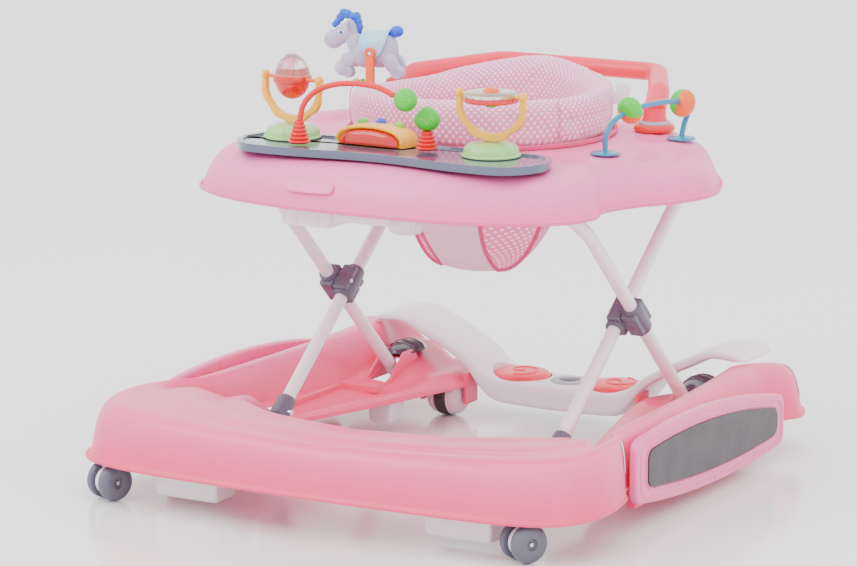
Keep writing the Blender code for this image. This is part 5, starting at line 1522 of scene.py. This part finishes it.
def stalk():
    foot = Vector((-0.104, -0.172, PANEL_TOP_Z + 0.0024))
    finish_mesh("stalk_bellows", bellows(0.0130, 0.0050, 0.026, foot), "red", "stalk", ("stalk",))
    rise = 0.022
    path = smooth_path([foot + Vector((0, 0, rise)), foot + Vector((0.005, 0.002, rise + 0.022)),
                        foot + Vector((0.020, 0.004, rise + 0.038)),
                        foot + Vector((0.043, 0.006, rise + 0.047)),
                        foot + Vector((0.070, 0.007, rise + 0.050)),
                        foot + Vector((0.098, 0.008, rise + 0.048)),
                        foot + Vector((0.119, 0.009, rise + 0.040))], 26)
    radii = [0.0029 + 0.0006 * abs(math.sin(k * 0.75)) for k in range(len(path))]
    finish_mesh("stalk_stem", tube(path, 0.0032, 16, radii=radii), "red", "stalk")
    centre = path[-1] + Vector((0.0145, 0.001, -0.004))
    across = Vector((0.45, -0.88, 0.12)).normalized()
    front = [(0, 0.0118), (0.006, 0.0112), (0.0105, 0.0082), (0.0130, 0.0035), (0.0133, 0.0006), (0, 0.0006)]
    back = [(0, -0.0085), (0.006, -0.0082), (0.0105, -0.0064), (0.0130, -0.003), (0.0133, 0.0), (0, 0.0)]
    finish_mesh("stalk_ball_front", turned(front, centre, across, 48), "green", "stalk", ("stalk_ball",))
    finish_mesh("stalk_ball_back", turned(back, centre, across, 48), "orange", "stalk")
    side = across.cross(Vector((0, 0, 1))).normalized()
    up = side.cross(across)
    for k in range(13):
        radius = 0.0 if k == 0 else (0.0042 if k < 5 else 0.0082)
        angle = k * (math.pi / 2 if k < 5 else math.pi / 4) + (0.4 if k > 4 else 0)
        depth = 0.0118 - 0.0008 * (radius / 0.0042) ** 2 * 1.05
        spot = centre + across * depth + side * radius * math.cos(angle) + up * radius * math.sin(angle)
        finish_mesh("stalk_ball_dot_{}".format(k), ball(spot, (0.0009,) * 3, segments=12, rings=8), "lime",
                    "stalk")


def berry():
    """A two-coloured leaf on a bellows."""
    foot = Vector((0.044, -0.139, PANEL_TOP_Z + 0.0024))
    finish_mesh("berry_bellows", bellows(0.0130, 0.0062, 0.021, foot, 5), "red", "berry", ("berry_stem",))
    base = foot + Vector((0, 0, 0.0213))
    across = Vector((0.45, -0.88, 0.10)).normalized()
    outline = []
    for k in range(48):
        angle = math.tau * k / 48
        high = math.sin(angle)
        wide = 0.0150 * (1 - 0.30 * max(0.0, high)) * math.cos(angle)
        outline.append((wide, 0.0135 + 0.0140 * high))
    side = Vector((0, 0, 1)).cross(across).normalized()
    up = across.cross(side)
    place = Matrix((side, up, across)).transposed().to_4x4()
    for name, low, high, material, replaced in (("front", 0.0, 0.0085, "green", ("berry",)),
                                                ("back", -0.0065, 0.0, "orange", ())):
        rings = []
        for depth in (0.0, 0.45, 0.78, 1.0):
            shrink = math.sqrt(max(0.0, 1 - (depth * 0.86) ** 2.2))
            w = high * depth if name == "front" else low * depth
            ring = []
            for u, v in outline:
                u, v = u * shrink, 0.0135 + (v - 0.0135) * shrink
                ring.append(base + (place.to_3x3() @ Vector((u, v, w))))
            rings.append(ring)
        finish_mesh("berry_" + name, loft(rings), material, "berry", replaced, 60)
    wave = []
    for k in range(30):
        t = k / 29
        u = -0.0075 + 0.015 * t
        v = 0.0110 + 0.0028 * math.sin(t * 9.5)
        wave.append(base + place.to_3x3() @ Vector((u, v, 0.0086 - 0.0006 * abs(u / 0.0075))))
    finish_mesh("berry_wave", tube(wave, 0.0007, 8), "lime", "berry")


def music_box():
    """The music box with its three keys and clear front."""
    centre = Vector((-0.030, -0.122, PANEL_TOP_Z + 0.0006))
    rings = []
    for y_share in (-1.0, -0.86, -0.55, 0.0, 0.55, 0.86, 1.0):
        scale = math.sqrt(max(0.0, 1 - (abs(y_share) * 0.42) ** 2))
        ring = []
        for k in range(33):
            angle = math.pi * k / 32
            x = -0.047 * scale * math.cos(angle)
            z = 0.0236 * scale * math.sin(angle) ** 0.62
            ring.append(centre + Vector((x, 0.0178 * y_share, z)))
        rings.append(ring)
    obj = finish_mesh("music_housing", loft(rings), "yellow", "tray", ("music_box",), 50)
    tools = []
    for name in ("green", "blue", "lime"):
        node = "music_key_" + name
        lo, hi = (Vector(corner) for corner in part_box(node))
        mid = (lo + hi) / 2
        tools.append(cut(obj, turned([(0, 0.04), (0.0074, 0.04), (0.0074, -0.0024), (0, -0.0024)],
                                     (mid.x, mid.y, lo.z), segments=32)))
        key = [(0, 0.0098), (0.0028, 0.0094), (0.0050, 0.0080), (0.0064, 0.0055), (0.0067, 0.0028),
               (0.0067, 0.0), (0, 0.0)]
        finish_mesh(node + "_cap", turned(key, (mid.x, mid.y, lo.z), segments=36), name, "key_" + name,
                    (node,))
    carve(obj, tools, 45)
    rings = []
    for k in range(25):
        angle = math.radians(12) + math.radians(156) * k / 24
        ring = []
        for j in range(9):
            x = -0.0385 * math.cos(angle)
            z = 0.0185 * math.sin(angle) ** 0.7 + 0.0012
            y = -0.0178 - 0.0080 * math.sin(angle) ** 0.5 * math.sqrt(max(0.0, 1 - (j / 8) ** 2))
            ring.append(centre + Vector((x, y, z * (0.10 + 0.90 * j / 8))))
        rings.append(ring)
    glass = finish_mesh("music_window", loft(rings, caps=False, closed=False), "red_clear", "tray",
                        smooth_angle=60)
    solid = glass.modifiers.new("Solidify", "SOLIDIFY")
    solid.thickness = 0.0016
    arch = []
    for k in range(33):
        angle = math.radians(4) + math.radians(172) * k / 32
        arch.append(centre + Vector((-0.0425 * math.cos(angle), -0.0192,
                                     0.0205 * math.sin(angle) ** 0.65 + 0.0012)))
    finish_mesh("music_window_rim", tube(arch, 0.0021, 14), "yellow", "tray")


def horse():
    """The little horse, from lumps fused into one skin."""
    pivot = Vector((-0.184, 0.1355, 0.467))
    body = "horse"

    def lump(x, y, z, radii, tilt=0, segments=24):
        return ball(pivot + Vector((x, y, z)), radii, Matrix.Rotation(math.radians(tilt), 4, "Y"), segments,
                    16)

    pieces = [
        lump(0.001, 0, 0.001, (0.0275, 0.0125, 0.0205), 0),
        lump(0.012, 0, 0.004, (0.0170, 0.0125, 0.0215), 0),
        lump(-0.018, 0, -0.004, (0.0170, 0.0120, 0.0170), 30),
        lump(-0.028, 0, 0.006, (0.0125, 0.0100, 0.0180), -18),
        lump(-0.040, 0, 0.0215, (0.0150, 0.0105, 0.0115), -20),
        lump(-0.0610, 0, 0.0110, (0.0128, 0.0105, 0.0118), 0),
        lump(-0.0520, 0, 0.0155, (0.0130, 0.0095, 0.0110), -25),
        lump(-0.0360, 0, 0.0275, (0.0100, 0.0090, 0.0095), 0),
    ]
    for y in (-0.0072, 0.0072):
        pieces += [
            lump(-0.036, y, -0.0125, (0.0110, 0.0058, 0.0095), 20),
            lump(0.0245, y, -0.0125, (0.0100, 0.0056, 0.0130), -40),
        ]
    pieces += [
        lump(-0.0515, 0.0060, -0.0240, (0.0110, 0.0085, 0.0100), 0),
        lump(-0.0440, -0.0050, -0.0230, (0.0105, 0.0075, 0.0095), 0),
        lump(0.0330, -0.0072, -0.0215, (0.0076, 0.0052, 0.0082), 0),
        lump(0.0200, 0.0078, -0.0235, (0.0070, 0.0052, 0.0080), 0),
    ]
    skin = fuse("horse_skin", merge(*pieces), 0.0011, 6)
    finish_mesh("horse_body", skin, "horse", body, ("horse",), 80)
    for y in (-1, 1):
        ear = lump(-0.0335, 0.0092 * y, 0.0305, (0.0042, 0.0018, 0.0085), 8)
        label = "near" if y < 0 else "far"
        finish_mesh("horse_ear_" + label, ear, "horse", body)
        hollow = lump(-0.0333, 0.0104 * y, 0.0300, (0.0022, 0.0010, 0.0060), 8)
        finish_mesh("horse_ear_hollow_" + label, hollow, "horse_shade", body)
        white = pivot + Vector((-0.0445, 0.0098 * y, 0.0216))
        finish_mesh("horse_eye_" + label, ball(white, (0.0042, 0.0016, 0.0040)), "horse_light", body)
        iris = white + Vector((0.0002, 0.0012 * y, 0.0))
        finish_mesh("horse_iris_" + label, ball(iris, (0.0022, 0.0010, 0.0022)), "iris", body)
        nostril = pivot + Vector((-0.0660, 0.0085 * y, 0.0135))
        finish_mesh("horse_nostril_" + label, ball(nostril, (0.0013, 0.0010, 0.0013)), "horse_shade", body)
    hooves = (("fore", -0.0350, -0.0262, 0.0070), ("hind", 0.0338, -0.0222, 0.0078))
    for label, x, z, radius in hooves:
        spot = pivot + Vector((x, -0.0082, z))
        rings = [(0, 0.0042), (radius * 0.16, 0.0042), (radius * 0.22, 0.0050), (radius * 0.34, 0.0050),
                 (radius * 0.40, 0.0042), (radius * 0.56, 0.0042), (radius * 0.62, 0.0050),
                 (radius * 0.88, 0.0048),
                 (radius, 0.0034), (radius * 1.02, -0.0040), (0, -0.0040)]
        finish_mesh("horse_hoof_" + label, turned(rings, spot, (0, -1, 0), 40), "horse", body)
    curls = [(-0.0595, 0.0290, 0.0040), (-0.0560, 0.0320, 0.0046), (-0.0515, 0.0380, 0.0055),
             (-0.0465, 0.0430, 0.0062),
             (-0.0405, 0.0425, 0.0058), (-0.0345, 0.0400, 0.0052), (-0.0285, 0.0405, 0.0058),
             (-0.0265, 0.0345, 0.0055),
             (-0.0245, 0.0285, 0.0052), (-0.0255, 0.0235, 0.0045)]
    mane = fuse("mane_skin", merge(*[lump(x, 0, z, (r, r * 0.72, r), 0, 18) for x, z, r in curls]), 0.0008, 2)
    finish_mesh("horse_mane", mane, "blue", body, smooth_angle=80)
    tail = [lump(0.0275, 0, 0.0262, (0.0092, 0.0058, 0.0072), -8, 20),
            lump(0.0205, 0, 0.0225, (0.0062, 0.0046, 0.0042), -35, 20)]
    finish_mesh("horse_tail", fuse("tail_skin", merge(*tail), 0.0009, 3), "blue", body, smooth_angle=80)
    saddle_cloth(pivot, body)
    post(pivot)


def saddle_cloth(pivot, body):
    """The pale-blue saddle: one sheet of plastic bent over the back, with a raised edge."""
    rows = []
    for j in range(25):
        angle = math.radians(-112) + math.radians(224) * j / 24
        fall = abs(angle) / math.radians(112)
        half = 0.0185 * math.sqrt(max(0.02, 1 - max(0.0, fall - 0.35) ** 2 / 0.4225))
        row = []
        for k in range(17):
            share = 2 * k / 16 - 1
            place = Vector((0.0005 + share * half, 0.0141 * math.sin(angle),
                            0.0035 + (0.0212 + 0.003 * share) * math.cos(angle)))
            row.append(pivot + place)
        rows.append(row)
    cloth = finish_mesh("horse_saddle", loft(rows, caps=False, closed=False), "saddle", body, smooth_angle=60)
    solid = cloth.modifiers.new("Solidify", "SOLIDIFY")
    solid.thickness = 0.0016
    solid.offset = 0
    edge = [*rows[0], *(row[-1] for row in rows[1:]), *reversed(rows[-1][:-1]),
            *(row[0] for row in reversed(rows[1:-1]))]
    finish_mesh("horse_saddle_rim", tube(edge, 0.0012, 10, closed=True), "saddle", body)


def post(pivot):
    """The orange upright with an open eye at its top, and the pin that the horse rocks on."""
    y = pivot.y - 0.0165
    centre = (pivot.x, y, pivot.z)
    eye = turned([(0.0034, 0.0030), (0.0062, 0.0030), (0.0070, 0.0022), (0.0070, -0.0022),
                  (0.0062, -0.0030), (0.0034, -0.0030)],
                 centre, (0, -1, 0), 40)
    low = TRAY_TOP_Z + 0.002 - pivot.z
    leg = plate([(-0.0052, -0.0054), (-0.0056, low), (0.0056, low), (0.0052, -0.0054)], 0.0058,
                upright(centre))
    obj = finish_mesh("horse_upright", leg, "orange", "tray", ("horse_post",), 30)
    soften(obj, 0.0010, 3, angle=50)
    finish_mesh("horse_upright_eye", eye, "orange", "tray")
    foot = turned([(0, 0.0062), (0.0065, 0.0062), (0.0085, 0.0048), (0.0112, 0.0022), (0.0118, 0.0006),
                   (0, 0.0006)],
                  (pivot.x, y, TRAY_TOP_Z), segments=48)
    finish_mesh("horse_upright_foot", foot, "orange", "tray")
    pin = turned([(0, 0.0022), (0.0024, 0.0022), (0.0031, 0.0014), (0.0031, -0.0050), (0, -0.0050)], centre,
                 (0, -1, 0), 28)
    finish_mesh("horse_upright_pin", pin, "steel", "tray")
    for index, (x, material) in enumerate(((-0.0195, "yellow"), (-0.0110, "green"))):
        bead = pivot + Vector((x, -0.016, -0.0345))
        finish_mesh("horse_rattle_{}".format(index),
                    ball(bead, (0.0032, 0.0032, 0.0030), segments=20, rings=12), material, "tray")
    rod = tube([pivot + Vector((-0.0235, -0.016, -0.0345)), pivot + Vector((0.0, -0.016, -0.0345))], 0.0012,
               10)
    finish_mesh("horse_rattle_rod", rod, "orange", "tray")


BEAD_WIRE_LINE = (
    (0.2025, -0.012, TRAY_TOP_Z + 0.0020), (0.2030, -0.011, TRAY_TOP_Z + 0.0210),
    (0.2080, -0.001, TRAY_TOP_Z + 0.0370),
    (0.2170, 0.020, TRAY_TOP_Z + 0.0460), (0.2270, 0.048, TRAY_TOP_Z + 0.0500),
    (0.2350, 0.080, TRAY_TOP_Z + 0.0500),
    (0.2400, 0.108, TRAY_TOP_Z + 0.0450), (0.2400, 0.124, TRAY_TOP_Z + 0.0360),
    (0.2330, 0.1265, TRAY_TOP_Z + 0.0180),
    (0.2300, 0.125, TRAY_TOP_Z + 0.0020),
)


def bead_toy():
    path = smooth_path(BEAD_WIRE_LINE, 12)
    finish_mesh("bead_loop", tube(path, 0.0031, 20), "teal", "tray", ("bead_wire",), 60)
    for name, end in (("front", path[0]), ("rear", path[-1])):
        foot = [(0, 0.0040), (0.0045, 0.0040), (0.0062, 0.0028), (0.0150, 0.0024), (0.0168, 0.0014),
                (0.0170, 0.0004),
                (0, 0.0004)]
        finish_mesh("bead_foot_" + name, turned(foot, (end.x, end.y, TRAY_TOP_Z), segments=56), "teal",
                    "tray")
    coarse = smooth_path(BEAD_WIRE_LINE, 3)
    for name, share, upper, lower in (("front", 0.335, "green", "orange"),
                                      ("rear", 0.655, "green", "orange")):
        k = round(share * (len(coarse) - 1))
        centre = coarse[k]
        along = (coarse[k + 1] - coarse[k - 1]).normalized()
        body = "bead_" + name
        up = Vector((0.25, -0.35, 1.0)) if name == "front" else Vector((-0.9, -0.25, 0.25))
        up = (up - along * up.dot(along)).normalized()
        other = along.cross(up)
        for part, material, sense, replaced in (("a", upper, 1, (body,)), ("b", lower, -1, ())):
            rings = []
            for j in range(13):
                angle = math.pi * j / 12
                half = 0.0105 * math.cos(angle)
                radius = 0.0045 + 0.0117 * math.sin(angle) ** 0.8
                ring = []
                for i in range(17):
                    sweep = math.pi * i / 16
                    ring.append(centre + along * half + other * radius * math.cos(sweep)
                                + up * sense
                                * (radius * (0.92 if sense < 0 else 1.0) * math.sin(sweep) + 0.0001))
                rings.append(ring)
            finish_mesh("{}_{}".format(body, part), loft(rings), material, body, replaced, 70)
        for k in range(16):
            sweep = math.pi * (0.18 + 0.16 * (k % 5))
            half = (-0.0055, 0.0, 0.0055)[k // 5 % 3]
            radius = 0.0160 - 0.0028 * (half / 0.0055) ** 2
            spot = centre + along * half + other * radius * math.cos(sweep) + up * radius * math.sin(sweep)
            finish_mesh("{}_dot_{}".format(body, k), ball(spot, (0.0009,) * 3, segments=10, rings=6),
                        "lime", body)


# ---------------------------------------------------------------- stickers
def surface_patch(name, rings, columns, rows, material, body):
    """A thin label that follows a lofted surface."""
    grid = []
    for i in range(columns[0], columns[1] + 1):
        line = []
        for j in range(rows[0], rows[1] + 1):
            along = rings[i + 1][j] - rings[i - 1][j]
            across = rings[i][j + 1] - rings[i][j - 1]
            normal = along.cross(across).normalized()
            outward = Vector((rings[i][j].x, 0, 0.02))
            if normal.dot(outward) < 0:
                normal = -normal
            line.append(rings[i][j] + normal * 0.0005)
        grid.append(line)
    obj = finish_mesh(name, loft(grid, caps=False, closed=False), material, body, smooth_angle=60)
    solid = obj.modifiers.new("Solidify", "SOLIDIFY")
    solid.thickness = 0.0004
    solid.offset = 1
    return obj


def stickers():
    rings = base_rings(12)
    surface_patch("blank_bar_sticker", rings, (60, 67), (9, 15), "sticker", "base")
    surface_patch("blank_rear_label", rings, (150, 163), (8, 16), "label", "base")


# ---------------------------------------------------------------- stage, light and camera
def view():
    """The camera, low and from the front right, through a long lens."""
    data = bpy.data.cameras.new("camera")
    data.lens = 168.03
    data.sensor_width = 36.0
    data.clip_end = 30
    camera = bpy.data.objects.new("camera", data)
    target = Vector((-0.0513, 0.0292, 0.2149))
    camera.location = target + 4.706 * Vector((0.4901, -0.8489, 0.1977))
    camera.rotation_euler = (target - camera.location).to_track_quat("-Z", "Y").to_euler()
    bpy.context.scene.collection.objects.link(camera)
    bpy.context.scene.camera = camera


def stage():
    """The pale floor."""
    bm = bmesh.new()
    bmesh.ops.create_grid(bm, x_segments=1, y_segments=1, size=6.0)
    mesh = bpy.data.meshes.new("floor")
    bm.to_mesh(mesh)
    bm.free()
    floor = bpy.data.objects.new("floor", mesh)
    bpy.context.scene.collection.objects.link(floor)
    m = Nodes("studio_floor")
    m.shader.inputs["Base Color"].default_value = (0.93, 0.93, 0.935, 1)
    m.link(m.ramp(m.noise(2.0), 0.3, 0.7, 0.13, 0.17), m.shader.inputs["Roughness"])
    m.shader.inputs["Specular IOR Level"].default_value = 0.6
    mesh.materials.append(m.material)
    floor.location.z = -0.0005


def light(name, place, aim, power, size, colour=(1, 1, 1)):
    """A soft area light aimed at a point."""
    data = bpy.data.lights.new(name, "AREA")
    data.energy = power
    data.shape = "RECTANGLE"
    data.size, data.size_y = size
    data.color = colour
    obj = bpy.data.objects.new(name, data)
    obj.location = place
    obj.rotation_euler = (Vector(aim) - Vector(place)).to_track_quat("-Z", "Y").to_euler()
    bpy.context.scene.collection.objects.link(obj)


def studio():
    """White surroundings and three soft lights."""
    world = bpy.data.worlds.new("studio")
    world.use_nodes = True
    world.node_tree.nodes["Background"].inputs["Color"].default_value = (1.0, 0.995, 1.0, 1)
    world.node_tree.nodes["Background"].inputs["Strength"].default_value = 2.15
    bpy.context.scene.world = world
    light("key", (-1.3, -1.7, 2.2), (0, 0, 0.2), 32, (1.6, 1.2))
    light("fill", (2.4, -1.2, 1.2), (0, 0, 0.2), 12, (1.6, 1.6))
    light("top", (0.2, 0.3, 2.6), (0, 0, 0.2), 14, (2.2, 1.6))


def build():
    """Every piece of the walker."""
    base()
    stoppers()
    footboard()
    casters()
    rollers()
    levers()
    rocker_panels()
    frame_tubes()
    clamps()
    shoes()
    tray()
    toy_panel()
    latch_housing()
    cushion()
    sling()
    handle()
    toy_bases()
    brackets()
    egg()
    disc()
    stalk()
    berry()
    music_box()
    horse()
    bead_toy()
    stickers()


view()
build()
stage()
studio()
